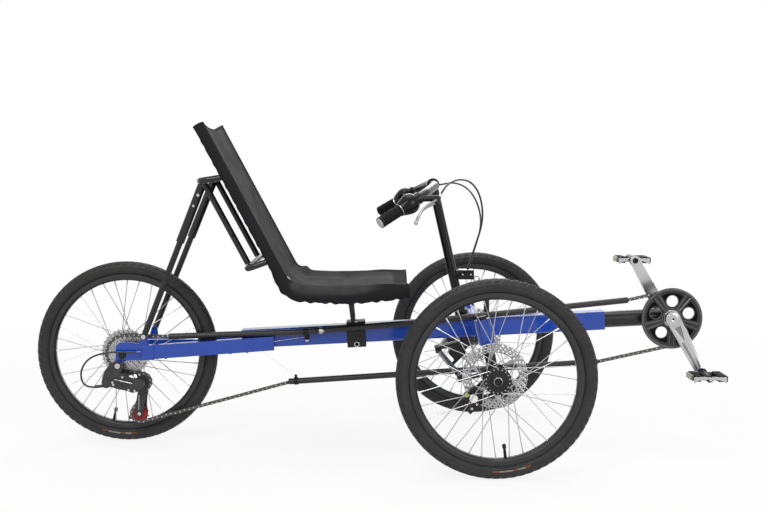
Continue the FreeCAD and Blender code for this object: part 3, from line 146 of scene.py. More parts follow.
class SurfaceGroups:
    """Shader node groups that more than one finish shares, each made once."""

    @staticmethod
    def _fresh(name: str, inputs: dict[str, float], outputs: Sequence[str]) -> tuple[Wiring, bpy.types.Node]:
        """A new group with a vector input and numbers in and out.

        Args:
            name: the group's name.
            inputs: number inputs with their defaults.
            outputs: the names of the number outputs.

        Returns:
            The group's wiring and its input node.
        """
        tree = bpy.data.node_groups.new(name, "ShaderNodeTree")
        tree.interface.new_socket("Vector", in_out="INPUT", socket_type="NodeSocketVector")
        for label, value in inputs.items():
            tree.interface.new_socket(label, in_out="INPUT", socket_type="NodeSocketFloat").default_value = value
        for label in outputs:
            tree.interface.new_socket(label, in_out="OUTPUT", socket_type="NodeSocketFloat")
        return Wiring(tree), tree.nodes.new("NodeGroupInput")

    @staticmethod
    def _closed(wiring: Wiring, results: dict) -> bpy.types.NodeTree:
        """The group's tree, with the results wired to its outputs."""
        wiring.feed(wiring.tree.nodes.new("NodeGroupOutput"), results)
        return wiring.tree

    @staticmethod
    @cache
    def variation() -> bpy.types.NodeTree:
        """Slow patches and fine grain: a mask for colour and roughness and a height."""
        wiring, come = SurfaceGroups._fresh("surface_variation", {"Patch": 9.0, "Grain": 900.0},
                                            ("Patches", "Height"))
        patch = wiring.add("TexNoise", {"Vector": come.outputs["Vector"], "Scale": come.outputs["Patch"],
                                        "Detail": 4.0, "Roughness": 0.62})
        grain = wiring.add("TexNoise", {"Vector": come.outputs["Vector"], "Scale": come.outputs["Grain"],
                                        "Detail": 2.0})
        blend = wiring.add("Math", {0: patch.outputs["Fac"], 1: 0.25, 2: grain.outputs["Fac"]},
                           operation="MULTIPLY_ADD")
        return SurfaceGroups._closed(wiring, {"Patches": patch.outputs["Fac"], "Height": blend.outputs[0]})

    @staticmethod
    @cache
    def scratches() -> bpy.types.NodeTree:
        """Fine lines drawn along one axis, as brushing or turning leaves them."""
        wiring, come = SurfaceGroups._fresh("fine_scratches", {"Along": 30.0, "Across": 1400.0}, ("Lines", ))
        along, across = come.outputs["Along"], come.outputs["Across"]
        scale = wiring.add("CombineXYZ", {"X": along, "Y": across, "Z": across})
        stretch = wiring.add("VectorMath", {0: come.outputs["Vector"], 1: scale.outputs[0]}, operation="MULTIPLY")
        lines = wiring.add("TexNoise", {"Vector": stretch.outputs[0], "Scale": 1.0, "Detail": 3.0})
        return SurfaceGroups._closed(wiring, {"Lines": lines.outputs["Fac"]})

    @staticmethod
    @cache
    def weave() -> bpy.types.NodeTree:
        """A plain weave from two crossed waves: the height of the threads."""
        wiring, come = SurfaceGroups._fresh("plain_weave", {"Threads": 600.0}, ("Height", ))
        waves = [wiring.add("TexWave", {"Vector": come.outputs["Vector"], "Scale": come.outputs["Threads"],
                                        "Distortion": 0.15}, wave_type="BANDS", bands_direction=direction)
                 for direction in ("X", "Y")]
        over = wiring.add("Math", {k: wave.outputs["Fac"] for k, wave in enumerate(waves)}, operation="MAXIMUM")
        return SurfaceGroups._closed(wiring, {"Height": over.outputs[0]})


@dataclass(frozen=True)
class Finish:
    """One finish: a colour with patches, a roughness that varies, and a fine relief.

    Attributes:
        name: the material's name.
        color: main colour, linear.
        shade: the colour in the patches.
        roughness: lowest roughness.
        spread: how much rougher the patches are.
        metallic: 0 or 1.
        coat: clear coat weight.
        effect: which fine surface it has.
        patch: scale of the slow patches, per metre.
        grain: scale of the fine grain, per metre.
        relief: depth of the fine relief in metres.
        sheen: sheen weight, for cloth.
        specular: the reflection's level at right angles.
        painted_shade: painted shade, the colour where a point's "painted_shade" attribute is 1.
    """

    name: str
    color: Color
    shade: Color
    roughness: float = 0.4
    spread: float = 0.12
    metallic: float = 0.0
    coat: float = 0.0
    effect: Effect = Effect.SMOOTH
    patch: float = 9.0
    grain: float = 900.0
    relief: float = 0.00001
    sheen: float = 0.0
    specular: float = 0.3
    painted_shade: Optional[Color] = None

    @cache
    def material(self) -> bpy.types.Material:
        """The finish as a procedural material, made once."""
        made = bpy.data.materials.new(f"{self.name}_finish")
        made.use_nodes = True
        wiring = Wiring(made.node_tree)
        place = wiring.add("TexCoord", {})
        vary = wiring.add("Group", {"Patch": self.patch, "Grain": self.grain, "Vector": place.outputs["Object"]},
                          node_tree=SurfaceGroups.variation())
        relief, mask = vary.outputs["Height"], vary.outputs["Patches"]
        if self.effect is Effect.BRUSHED:
            lines = wiring.add("Group", {"Vector": place.outputs["Object"]}, node_tree=SurfaceGroups.scratches())
            relief = mask = lines.outputs["Lines"]
        if self.effect is Effect.WEAVE:
            cloth = wiring.add("Group", {"Threads": self.grain, "Vector": place.outputs["UV"]},
                               node_tree=SurfaceGroups.weave())
            relief = cloth.outputs["Height"]
        share = wiring.add("MapRange", {"From Min": 0.35, "From Max": 0.7, "Value": mask})
        tone = wiring.add("Mix", {"A": (*self.color, 1.0), "B": (*self.shade, 1.0),
                                  "Factor": share.outputs["Result"]}, data_type="RGBA")
        # painted shade: where a point's attribute says so, the colour turns to the darker one
        if self.painted_shade is not None:
            painted_shade = wiring.add("Attribute", {}, attribute_name="painted_shade")
            tone = wiring.add("Mix", {"A": tone.outputs["Result"], "B": (*self.painted_shade, 1.0),
                                      "Factor": painted_shade.outputs["Fac"]}, data_type="RGBA")
        rough = wiring.add("MapRange", {"From Min": 0.3, "From Max": 0.7, "To Min": self.roughness,
                                        "To Max": self.roughness + self.spread, "Value": mask})
        bump = wiring.add("Bump", {"Strength": 1.0, "Distance": self.relief, "Height": relief})
        wiring.feed(made.node_tree.nodes["Principled BSDF"],
                    {"Base Color": tone.outputs["Result"], "Roughness": rough.outputs["Result"],
                     "Normal": bump.outputs["Normal"], "Metallic": self.metallic, "Coat Weight": self.coat,
                     "Coat Roughness": 0.08, "Sheen Weight": self.sheen,
                     "Specular IOR Level": 0.5 if self.metallic else self.specular})
        return made


def grey(value: float) -> Color:
    """A colour without a tint."""
    return value, value, value


WHITE = grey(1.0)
BLUE_PAINT = Finish("gloss_blue_paint", (0.006, 0.050, 0.36), (0.004, 0.040, 0.29), 0.2, 0.08, coat=0.55, patch=5.0,
                    grain=420.0)
BLACK_PAINT = Finish("satin_black_paint", (0.007, 0.007, 0.008), (0.012, 0.012, 0.013), 0.24, 0.12, coat=0.15,
                     grain=700.0)
BLACK_ALLOY = Finish("anodised_black", grey(0.010), grey(0.018), 0.34, 0.14, grain=1500.0, specular=0.24)
SILVER_ALLOY = Finish("polished_alloy", grey(0.52), (0.45, 0.45, 0.455), 0.2, 0.06, metallic=1.0, patch=16.0,
                      grain=1600.0, relief=0.000004)
BRUSHED_STEEL = Finish("brushed_steel", grey(0.58), (0.40, 0.40, 0.41), 0.24, 0.16, metallic=1.0,
                       effect=Effect.BRUSHED, relief=0.000008)
SPOKE_STEEL = Finish("drawn_steel_spoke", (0.42, 0.42, 0.43), (0.30, 0.30, 0.31), 0.26, 0.1, metallic=1.0,
                     grain=2000.0)
CHAIN_STEEL = Finish("oiled_chain_steel", (0.13, 0.127, 0.12), (0.05, 0.048, 0.045), 0.3, 0.2, metallic=1.0,
                     patch=260.0, grain=1800.0)
ROTOR_STEEL = Finish("ground_rotor_steel", grey(0.44), grey(0.26), 0.24, 0.15, metallic=1.0, effect=Effect.BRUSHED)
TYRE_RUBBER = Finish("tyre_rubber", grey(0.019), (0.028, 0.028, 0.027), 0.46, 0.14, patch=26.0, grain=2200.0,
                     relief=0.000018, specular=0.24)
GRIP_RUBBER = Finish("grip_rubber", grey(0.006), grey(0.013), 0.42, 0.15, grain=2600.0, relief=0.000018, specular=0.12)
MOULDED_BLACK = Finish("moulded_black_plastic", grey(0.006), grey(0.012), 0.34, 0.12, grain=1900.0, relief=0.000012,
                       specular=0.16)
RIM_BLACK = Finish("rim_black", (0.012, 0.012, 0.013), (0.020, 0.020, 0.021), 0.28, 0.1, coat=0.3, grain=1200.0)
HOUSING_BLACK = Finish("cable_housing", (0.010, 0.010, 0.011), (0.016, 0.016, 0.017), 0.28, 0.1, coat=0.3)
PALE_PLASTIC = Finish("pale_grey_plastic", grey(0.46), grey(0.40), 0.42, 0.1, grain=1400.0, relief=0.000012)
RED_PLASTIC = Finish("red_plastic", (0.30, 0.018, 0.012), (0.20, 0.012, 0.010), 0.36, 0.12, grain=1500.0)
YELLOW_PLASTIC = Finish("yellow_green_plastic", (0.45, 0.62, 0.03), (0.36, 0.50, 0.03), 0.4, 0.1, grain=1500.0)
# seat cloth; its last colour is painted shade on the sides round the rails and across the front fold
SEAT_MESH = Finish("seat_mesh_cloth", (0.054, 0.054, 0.055), (0.036, 0.036, 0.037), 0.7, 0.12, effect=Effect.WEAVE,
                   patch=14.0, grain=120.0, relief=0.00025, specular=0.03, painted_shade=(0.017, 0.017, 0.018))
SEAT_BAND = Finish("seat_edge_cloth", (0.019, 0.019, 0.020), (0.029, 0.029, 0.030), 0.7, 0.14, effect=Effect.WEAVE,
                   patch=30.0, grain=110.0, relief=0.0002, specular=0.03)


# ------------------------------------------------------------------ workshop
def in_scene(name: str, data: bpy.types.ID) -> bpy.types.Object:
    """A new object in the scene that shows a mesh, curve, lamp or camera."""
    made = bpy.data.objects.new(name, data)
    bpy.context.scene.collection.objects.link(made)
    return made


class Workshop:
    """Ways of making pieces that every sub-assembly uses."""

    SMOOTH_BELOW = math.radians(32)

    @staticmethod
    def piece(name: str, shape: Union[Shape, list[Shape]], finish: Finish, body: str, slot: str,
              replaced: Sequence[str] = (), edge: float = 0.0, segments: int = 2) -> bpy.types.Object:
        """Makes a finished piece out of a shape, or several joined, and hangs it on a body.

        Args:
            name: the piece's name.
            shape: its mesh or meshes, freed here.
            finish: what it is finished in.
            body: the moving body that carries it.
            slot: the record's material slot; not used.
            replaced: frame nodes that it stands for.
            edge: how wide its sharp edges are rounded, in metres; 0 leaves them.
            segments: how many steps the rounding has.

        Returns:
            The new object.
        """
        mesh = bpy.data.meshes.new(name)
        whole = Workshop.join(shape) if isinstance(shape, list) else shape
        whole.to_mesh(mesh)
        whole.free()
        made = in_scene(name, mesh)
        mesh.materials.append(finish.material())
        Workshop.shade(mesh)
        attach(made, body)
        if replaced:
            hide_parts(*replaced)
        if edge:
            rounding = made.modifiers.new("rounded_edges", "BEVEL")
            rounding.width = edge
            rounding.segments = segments
            rounding.limit_method = "ANGLE"
            rounding.angle_limit = math.radians(35.0)
            rounding.miter_outer = "MITER_ARC"
        return made

    @staticmethod
    def shade(mesh: bpy.types.Mesh, angle: float = SMOOTH_BELOW) -> None:
        """Shades a mesh smooth, with creases kept sharp above an angle."""
        mesh.shade_smooth()
        mesh.set_sharp_from_angle(angle=angle)

    @staticmethod
    def paint(made: bpy.types.Object, finishes: Sequence[Finish],
              pick: Callable[[bpy.types.MeshPolygon], int]) -> None:
        """Gives some faces of a piece other finishes.

        Args:
            made: the piece.
            finishes: the other finishes.
            pick: gives each face 0 for the piece's own finish or the place of one of the others.
        """
        for finish in finishes:
            made.data.materials.append(finish.material())
        for face in made.data.polygons:
            face.material_index = int(pick(face))

    @staticmethod
    def thicken(made: bpy.types.Object, name: str, thickness: float) -> None:
        """Gives a flat piece a thickness in metres, half to each side, with a modifier."""
        thick = made.modifiers.new(name, "SOLIDIFY")
        thick.thickness = thickness
        thick.offset = 0.0

    @staticmethod
    def skin(shape: Shape, rings: Sequence[list], closed: bool = True) -> Shape:
        """Bridges rows of corners one after another.

        Args:
            shape: the mesh that holds the corners.
            rings: the rows of corners, all of one length.
            closed: whether the rows are rings, which also get a face at both ends.

        Returns:
            The same shape with its faces.
        """
        loops = [[shape.edges.new(pair) for pair in zip(ring, ring[1:] + (ring[:1] if closed else []))]
                 for ring in rings]
        for low, high in zip(loops, loops[1:]):
            bmesh.ops.bridge_loops(shape, edges=low + high)
        for ring in (rings[0], rings[-1]) if closed else ():
            shape.faces.new(ring)
        bmesh.ops.recalc_face_normals(shape, faces=shape.faces)
        return shape

    @staticmethod
    def cylinder(start: Vector, end: Vector, radius: float, tip: Optional[float] = None,
                 sides: int = 32) -> Shape:
        """A closed round bar or cone between two points in metres."""
        shape = bmesh.new()
        reach = end - start
        turn = reach.to_track_quat("Z", "Y").to_matrix().to_4x4()
        place = Matrix.Translation((start + end) / 2) @ turn
        bmesh.ops.create_cone(shape, cap_ends=True, segments=sides, radius1=radius,
                              radius2=radius if tip is None else tip, depth=reach.length, matrix=place)
        return shape

    @staticmethod
    def box(size: Point, place: Vector, turn: Matrix = Matrix()) -> Shape:
        """A box of a size in metres, centred on a place and turned about it."""
        shape = bmesh.new()
        bmesh.ops.create_cube(shape, size=1.0, matrix=Matrix.Translation(place) @ turn @ Matrix.Diagonal((*size, 1.0)))
        return shape

    @staticmethod
    def lathe(profile: Sequence[Point], start: Vector, axis: Vector, steps: int) -> Shape:
        """Turns a profile about an axis.

        Args:
            profile: (radius, place along the axis) in millimetres; radius 0 closes a pole.
            start: the axis's origin in metres.
            axis: its direction.
            steps: how many steps the turn has.

        Returns:
            The turned shape.
        """
        shape = bmesh.new()
        corners = [shape.verts.new((r / 1000, 0.0, h / 1000)) for r, h in profile]
        edges = [shape.edges.new(pair) for pair in zip(corners, corners[1:])]
        bmesh.ops.spin(shape, geom=corners + edges, cent=(0, 0, 0), axis=(0, 0, 1),
                       angle=2 * math.pi, steps=steps, use_merge=True)
        bmesh.ops.remove_doubles(shape, verts=shape.verts, dist=1e-6)
        bmesh.ops.recalc_face_normals(shape, faces=shape.faces)
        turn = axis.to_track_quat("Z", "Y").to_matrix().to_4x4()
        bmesh.ops.transform(shape, matrix=Matrix.Translation(start) @ turn, verts=shape.verts)
        return shape

    @staticmethod
    def slab(outline: Sequence[Point], place: Vector, thickness: float) -> Shape:
        """An upright plate that stands along the machine.

        Args:
            outline: its corners as (along, height) in metres from the place.
            place: the middle of the plate in metres.
            thickness: how thick it is across the machine, in metres.

        Returns:
            The plate's shape.
        """
        shape = bmesh.new()
        corners = [shape.verts.new(place + Vector((x, -thickness / 2, z))) for x, z in outline]
        face = shape.faces.new(corners)
        pushed = bmesh.ops.extrude_face_region(shape, geom=[face])
        moved = [item for item in pushed["geom"] if isinstance(item, bmesh.types.BMVert)]
        bmesh.ops.translate(shape, vec=(0, thickness, 0), verts=moved)
        bmesh.ops.recalc_face_normals(shape, faces=shape.faces)
        return shape

    @staticmethod
    def pierced_disc(outline: Sequence[Point], bore: float, place: Vector, thickness: float) -> Shape:
        """A flat disc across the machine with an edge of its own and a round bore.

        Args:
            outline: its edge as (along, height) in metres from the place.
            bore: the bore's radius in metres.
            place: its middle in metres.
            thickness: how thick it is, in metres.

        Returns:
            The disc's shape.
        """
        shape = bmesh.new()
        loops = []
        for across in (-thickness / 2, thickness / 2):
            for inner in (False, True):
                spots = [Vector((x, 0, z)) for x, z in outline]
                ring = [shape.verts.new(place + (spot.normalized() * bore if inner else spot) + Vector((0, across, 0)))
                        for spot in spots]
                loops.append([shape.edges.new(pair) for pair in zip(ring, ring[1:] + ring[:1])])
        for a, b in ((0, 1), (2, 3), (0, 2), (1, 3)):
            bmesh.ops.bridge_loops(shape, edges=loops[a] + loops[b])
        bmesh.ops.recalc_face_normals(shape, faces=shape.faces)
        return shape

    @staticmethod
    def ridge(start: Vector, end: Vector, across: Vector, lift: Vector, width: float,
              tip: float) -> Shape:
        """A low roof-shaped ridge between two points, widest at its start.

        Args:
            start: where it begins, on the face it stands on.
            end: where it ends.
            across: unit direction across it.
            lift: its height as a vector.
            width: half of its width at the start.
            tip: half of its width at the end.

        Returns:
            The ridge's shape.
        """
        shape = bmesh.new()
        sink = lift * -0.6
        rings = []
        for place, half in ((start, width), (end, tip)):
            rings.append([shape.verts.new(place + across * half + sink), shape.verts.new(place + lift),
                          shape.verts.new(place - across * half + sink)])
        return Workshop.skin(shape, rings)

    @staticmethod
    def join(shapes: Sequence[Shape]) -> Shape:
        """Several shapes as one mesh; the shapes are freed."""
        whole = bmesh.new()
        for shape in shapes:
            mesh = bpy.data.meshes.new("joining")
            shape.to_mesh(mesh)
            shape.free()
            whole.from_mesh(mesh)
            bpy.data.meshes.remove(mesh)
        return whole

    @staticmethod
    def rod(points: Sequence[Vector], radius: float, sides: int = 10) -> Shape:
        """A round rod that follows smooth points, closed at both ends.

        Args:
            points: the places it goes through, in metres.
            radius: its radius in metres.
            sides: how many sides it has.

        Returns:
            The rod's shape.
        """
        shape = bmesh.new()
        rings = []
        across = None
        for i, place in enumerate(points):
            ahead = points[min(i + 1, len(points) - 1)] - points[max(i - 1, 0)]
            ahead.normalize()
            if across is None:
                across = ahead.orthogonal().normalized()
            across = (across - ahead * across.dot(ahead)).normalized()
            other = ahead.cross(across)
            rings.append([shape.verts.new(place + (across * math.cos(a) + other * math.sin(a)) * radius)
                          for a in (2 * math.pi * k / sides for k in range(sides))])
        return Workshop.skin(shape, rings)

    @staticmethod
    def smooth_points(corners: Sequence[Vector], steps: int = 10) -> list[Vector]:
        """Points on a smooth curve that goes through the corners (Catmull-Rom).

        Args:
            corners: places that the curve goes through.
            steps: how many points each stretch gets.

        Returns:
            The points from the first corner to the last.
        """
        padded = [corners[0] * 2 - corners[1], *corners, corners[-1] * 2 - corners[-2]]
        points = []
        for p0, p1, p2, p3 in zip(padded, padded[1:], padded[2:], padded[3:]):
            for k in range(steps):
                t = k / steps
                points.append(0.5 * (2 * p1 + (p2 - p0) * t + (2 * p0 - 5 * p1 + 4 * p2 - p3) * t ** 2
                                     + (3 * p1 - p0 - 3 * p2 + p3) * t ** 3))
        points.append(corners[-1].copy())
        return points


RECORD = frame["record"]
SLOT_OF: dict[str, str] = {part["node"]: part["material_slot"] for part in RECORD["subparts"]}
BODY_OF: dict[str, str] = {node: body for body, nodes in RECORD["behaviour"]["bodies"].items() for node in nodes}


def refine(node: str, finish: Finish, edge: float = 0.0) -> bpy.types.Object:
    """A frame node's own shape with welded facets, smooth shading and rounded edges.

    Args:
        node: the frame node.
        finish: its finish.
        edge: how wide its edges are rounded, in metres; 0 leaves them.

    Returns:
        The piece that stands for the node, on its body.
    """
    shape = bmesh.new()
    shape.from_mesh(frame["nodes"][node].data)
    bmesh.ops.remove_doubles(shape, verts=shape.verts, dist=1e-6)
    bmesh.ops.dissolve_limit(shape, angle_limit=math.radians(0.5), verts=shape.verts, edges=shape.edges)
    return Workshop.piece(f"{node}_finished", shape, finish, BODY_OF[node], SLOT_OF[node], [node], edge)


# ------------------------------------------------------------------ wheels
@dataclass
class Tyre:
    """A black road tyre: ribbed side walls, blocks on the tread and a plain label stripe.

    Attributes:
        node: the frame node that it stands for.
        centre: the wheel's centre in metres.
        label_angle: where the stripe is, in degrees from straight down.
        BLOCKS: how many rows of tread blocks go round.
        CROWN: the tread's oval in millimetres: its centre's radius, its rise, its half width and the
            arc length that bends it by one radian.
        STRIPE: (radius, place across) of the stripe's edges in millimetres.
        PROFILE: the same for one half of the casing, from the bead out to the crown.
    """

    node: str
    centre: Vector
    label_angle: float
    BLOCKS: ClassVar[int] = 72
    CROWN: ClassVar[tuple] = (219.5, 21.5, 19.5, 22.0)
    STRIPE: ClassVar[tuple] = ((219.0, 18.75), (222.4, 19.3))
    PROFILE: ClassVar[tuple] = ((203.5, 9.4), (208.9, 9.8), (210.6, 12.4), (212.4, 14.4), (213.0, 15.5), (213.9, 15.5),
                                (214.6, 15.9), (216.6, 17.4), (217.4, 18.3), (218.2, 18.3), (218.8, 18.4),
                                (223.4, 19.2), (228.0, 18.6), (228.8, 19.0), (229.8, 18.6), (230.4, 17.7),
                                (233.6, 15.6), (236.9, 12.0), (239.6, 7.4), (241.0, 3.2), (241.4, 0.0))

    def build(self) -> None:
        """Makes the casing, its tread and its stripe."""
        outline = [*self.PROFILE, *((r, -y) for r, y in reversed(self.PROFILE[:-1]))]
        casing = Workshop.lathe(outline, self.centre, LEFT, 144)
        made = Workshop.piece(f"{self.node}_rubber", [casing, self._tread()], TYRE_RUBBER, BODY_OF[self.node],
                              SLOT_OF[self.node], [self.node])
        Workshop.shade(made.data, math.radians(40))
        for side in (-1, 1):
            self._stripe(side)
        log.info("tyre %s", self.node)

    def _on_casing(self, angle: float, across: float, lift: float) -> Vector:
        """A point on the crown: angle round the wheel, arc place across, lift in millimetres."""
        middle, rise, half, arc = self.CROWN
        bend = across / arc
        radius = middle + (rise + lift) * math.cos(bend)
        return self.centre + around(angle, radius, (half + lift) * math.sin(bend)) / 1000

    def _tread(self) -> Shape:
        """Slanted centre blocks and shoulder blocks, repeated round the wheel."""
        shape = bmesh.new()
        pitch, top, foot = 2 * math.pi / self.BLOCKS, 1.4, -0.6
        # corner lists: (share of the pitch, arc place across in millimetres)
        outlines = (
            ((0.06, 0.8), (0.52, 0.8), (0.86, 8.0), (0.40, 8.0)),
            ((0.30, 9.4), (0.88, 9.4), (1.02, 16.0), (0.46, 16.0)),
            ((0.50, 17.4), (1.00, 17.4), (1.04, 23.5), (0.60, 23.5)),
        )
        for k in range(self.BLOCKS):
            for outline in outlines:
                for side, shift in ((1, 0.0), (-1, 0.5)):
                    tops, feet = [], []
                    for share, across in outline:
                        angle = (k + share + shift) * pitch
                        tops.append(shape.verts.new(self._on_casing(angle, side * across, top)))
                        feet.append(shape.verts.new(self._on_casing(angle, side * across, foot)))
                    faces = [shape.faces.new(tops)]
                    for i in range(4):
                        j = (i + 1) % 4
                        faces.append(shape.faces.new((tops[i], feet[i], feet[j], tops[j])))
                    faces.append(shape.faces.new(list(reversed(feet))))
                    if side < 0:
                        bmesh.ops.reverse_faces(shape, faces=faces)
        bmesh.ops.recalc_face_normals(shape, faces=shape.faces)
        return shape

    def _stripe(self, side: int) -> None:
        """A thin printed stripe on one side wall: orange and pale stretches by turns."""
        stretches = ((-12.0, -8.6, "orange"), (-8.2, 0.6, "pale"), (1.0, 3.4, "orange"), (3.8, 8.4, "pale"),
                     (8.7, 12.0, "orange"))
        steps = 10
        where = "right" if side < 0 else "left"
        for low, high, tint in stretches:
            shape = bmesh.new()
            pairs = []
            for k in range(steps + 1):
                angle = math.radians(-90 + self.label_angle + low + (high - low) * k / steps)
                pairs.append([shape.verts.new(self.centre + around(angle, radius, side * lean) / 1000)
                              for radius, lean in self.STRIPE])
            for (a, b), (c, d) in zip(pairs, pairs[1:]):
                shape.faces.new((a, b, d, c) if side > 0 else (a, c, d, b))
            bmesh.ops.solidify(shape, geom=shape.faces[:], thickness=0.0003)
            bmesh.ops.recalc_face_normals(shape, faces=shape.faces)
            Workshop.piece(f"{self.node}_stripe_{where}_{tint}_{round(low) + 20}", shape,
                           LABEL_ORANGE if tint == "orange" else LABEL_PALE, BODY_OF[self.node], SLOT_OF[self.node])


LABEL_ORANGE = Finish("label_orange", (0.50, 0.13, 0.03), (0.36, 0.10, 0.03), 0.5, 0.12)
LABEL_PALE = Finish("label_pale", (0.55, 0.53, 0.50), (0.30, 0.29, 0.27), 0.5, 0.12, patch=260.0)
COG_STEEL = Finish("pierced_cog_steel", grey(0.56), grey(0.30), 0.26, 0.16, metallic=1.0, patch=240.0, grain=1500.0)
# painted shade: near-black steel for the cogs' edges, the spacers and the marks for the piercings
COG_SHADE = Finish("cog_edge_shade", grey(0.045), grey(0.02), 0.35, 0.2, metallic=1.0, patch=200.0, grain=1500.0)


@dataclass
class Wheel:
    """A laced wheel: tyre, black rim, steel spokes with nipples, hub, valve.

    Attributes:
        prefix: what its frame nodes' names start with.
        centre: its centre in metres.
        flange_radius: the hub flange's radius in millimetres.
        flanges: the flanges' places along the axle, in millimetres.
        valve_angle: where the valve is, in degrees from straight down.
        label_angle: where the tyre's stripe is, in degrees from straight down.
        SPOKES: how many spokes it has.
        NIPPLE_SEAT: how far from the axle the spokes end, in millimetres.
        VALVE_FOOT: how far from the axle the valve begins, in metres.
    """

    prefix: str
    centre: Vector
    flange_radius: float
    flanges: tuple[float, float]
    valve_angle: float
    label_angle: float
    SPOKES: ClassVar[int] = 36
    NIPPLE_SEAT: ClassVar[float] = 191.7
    VALVE_FOOT: ClassVar[float] = 0.1935

    def build(self) -> None:
        """Makes everything on the wheel."""
        node = self.prefix
        Tyre(f"{node}_tyre", self.centre, self.label_angle).build()
        refine(f"{node}_rim", RIM_BLACK, 0.0006)
        self._spokes()
        refine(f"{node}_hub", BLACK_ALLOY, 0.0006)
        self._nipples()
        self._spoke_heads()
        self._valve()
        log.info("wheel %s", node)

    def _rim_points(self) -> list[tuple[Vector, Vector]]:
        """Where each spoke meets the rim and where its head sits on the flange."""
        step = 360.0 / self.SPOKES
        found = []
        for side, flange in enumerate(self.flanges):
            outward = math.copysign(1, flange)
            for k in range(self.SPOKES // 2):
                leading = 1 if k % 2 == 0 else -1
                hub_angle = math.radians(2 * step * k + step * side)
                rim_angle = hub_angle + leading * math.radians(6 * step)
                hub = around(hub_angle, self.flange_radius - 1.5, flange + outward * leading * 3.6)
                rim = around(rim_angle, self.NIPPLE_SEAT, outward * (3.0 + 1.2 * leading))
                found.append((self.centre + hub / 1000, self.centre + rim / 1000))
        return found

    def _spokes(self) -> None:
        """The spokes, drawn thinner in their middles than at both ends."""
        node = f"{self.prefix}_spokes"
        stretches = ((0.0, 0.12, 0.00125, 0.00105), (0.12, 0.92, 0.00105, 0.00105), (0.92, 1.0, 0.00105, 0.0012))
        shapes = [Workshop.cylinder(hub.lerp(rim, start), hub.lerp(rim, end), radius, tip, 8)
                  for hub, rim in self._rim_points() for start, end, radius, tip in stretches]
        Workshop.piece(f"{node}_drawn", shapes, SPOKE_STEEL, BODY_OF[node], SLOT_OF[node], [node])

    def _nipples(self) -> None:
        """A small steel nipple on every spoke at the rim."""
        shapes = []
        for hub, rim in self._rim_points():
            inward = (hub - rim).normalized()
            shapes.append(Workshop.cylinder(rim + inward * 0.0004, rim + inward * 0.013, 0.0021, 0.0016, 8))
        Workshop.piece(f"{self.prefix}_nipples", shapes, BRUSHED_STEEL, BODY_OF[f"{self.prefix}_hub"], "spoke_steel")

    def _spoke_heads(self) -> None:
        """The round spoke heads that show on the hub flanges."""
        shapes = []
        for k, (hub, _) in enumerate(self._rim_points()):
            flange = self.flanges[k // (self.SPOKES // 2)]
            outward = math.copysign(1, flange)
            spot = self.centre + (hub - self.centre) * 0.9
            spot.y = self.centre.y + (flange + outward * 1.7) / 1000
            shapes.append(Workshop.cylinder(spot, spot + LEFT * outward * 0.0012, 0.0022, 0.0014, 8))
        Workshop.piece(f"{self.prefix}_spoke_heads", shapes, BRUSHED_STEEL, BODY_OF[f"{self.prefix}_hub"],
                       "spoke_steel")

    def _valve(self) -> None:
        """A black car valve through the rim, with its cap."""
        inward = -around(math.radians(-90 + self.valve_angle), 1.0)
        profile = [(0, -1), (4.8, -1), (4.8, 1.5), (3.8, 4), (3.6, 16), (3.2, 22), (3.2, 24), (4.7, 25), (4.7, 33),
                   (3.8, 35), (0, 35.5)]
        stem = Workshop.lathe(profile, self.centre - inward * self.VALVE_FOOT, inward, 16)
        Workshop.piece(f"{self.prefix}_valve", stem, MOULDED_BLACK, BODY_OF[f"{self.prefix}_hub"], "tyre_rubber")


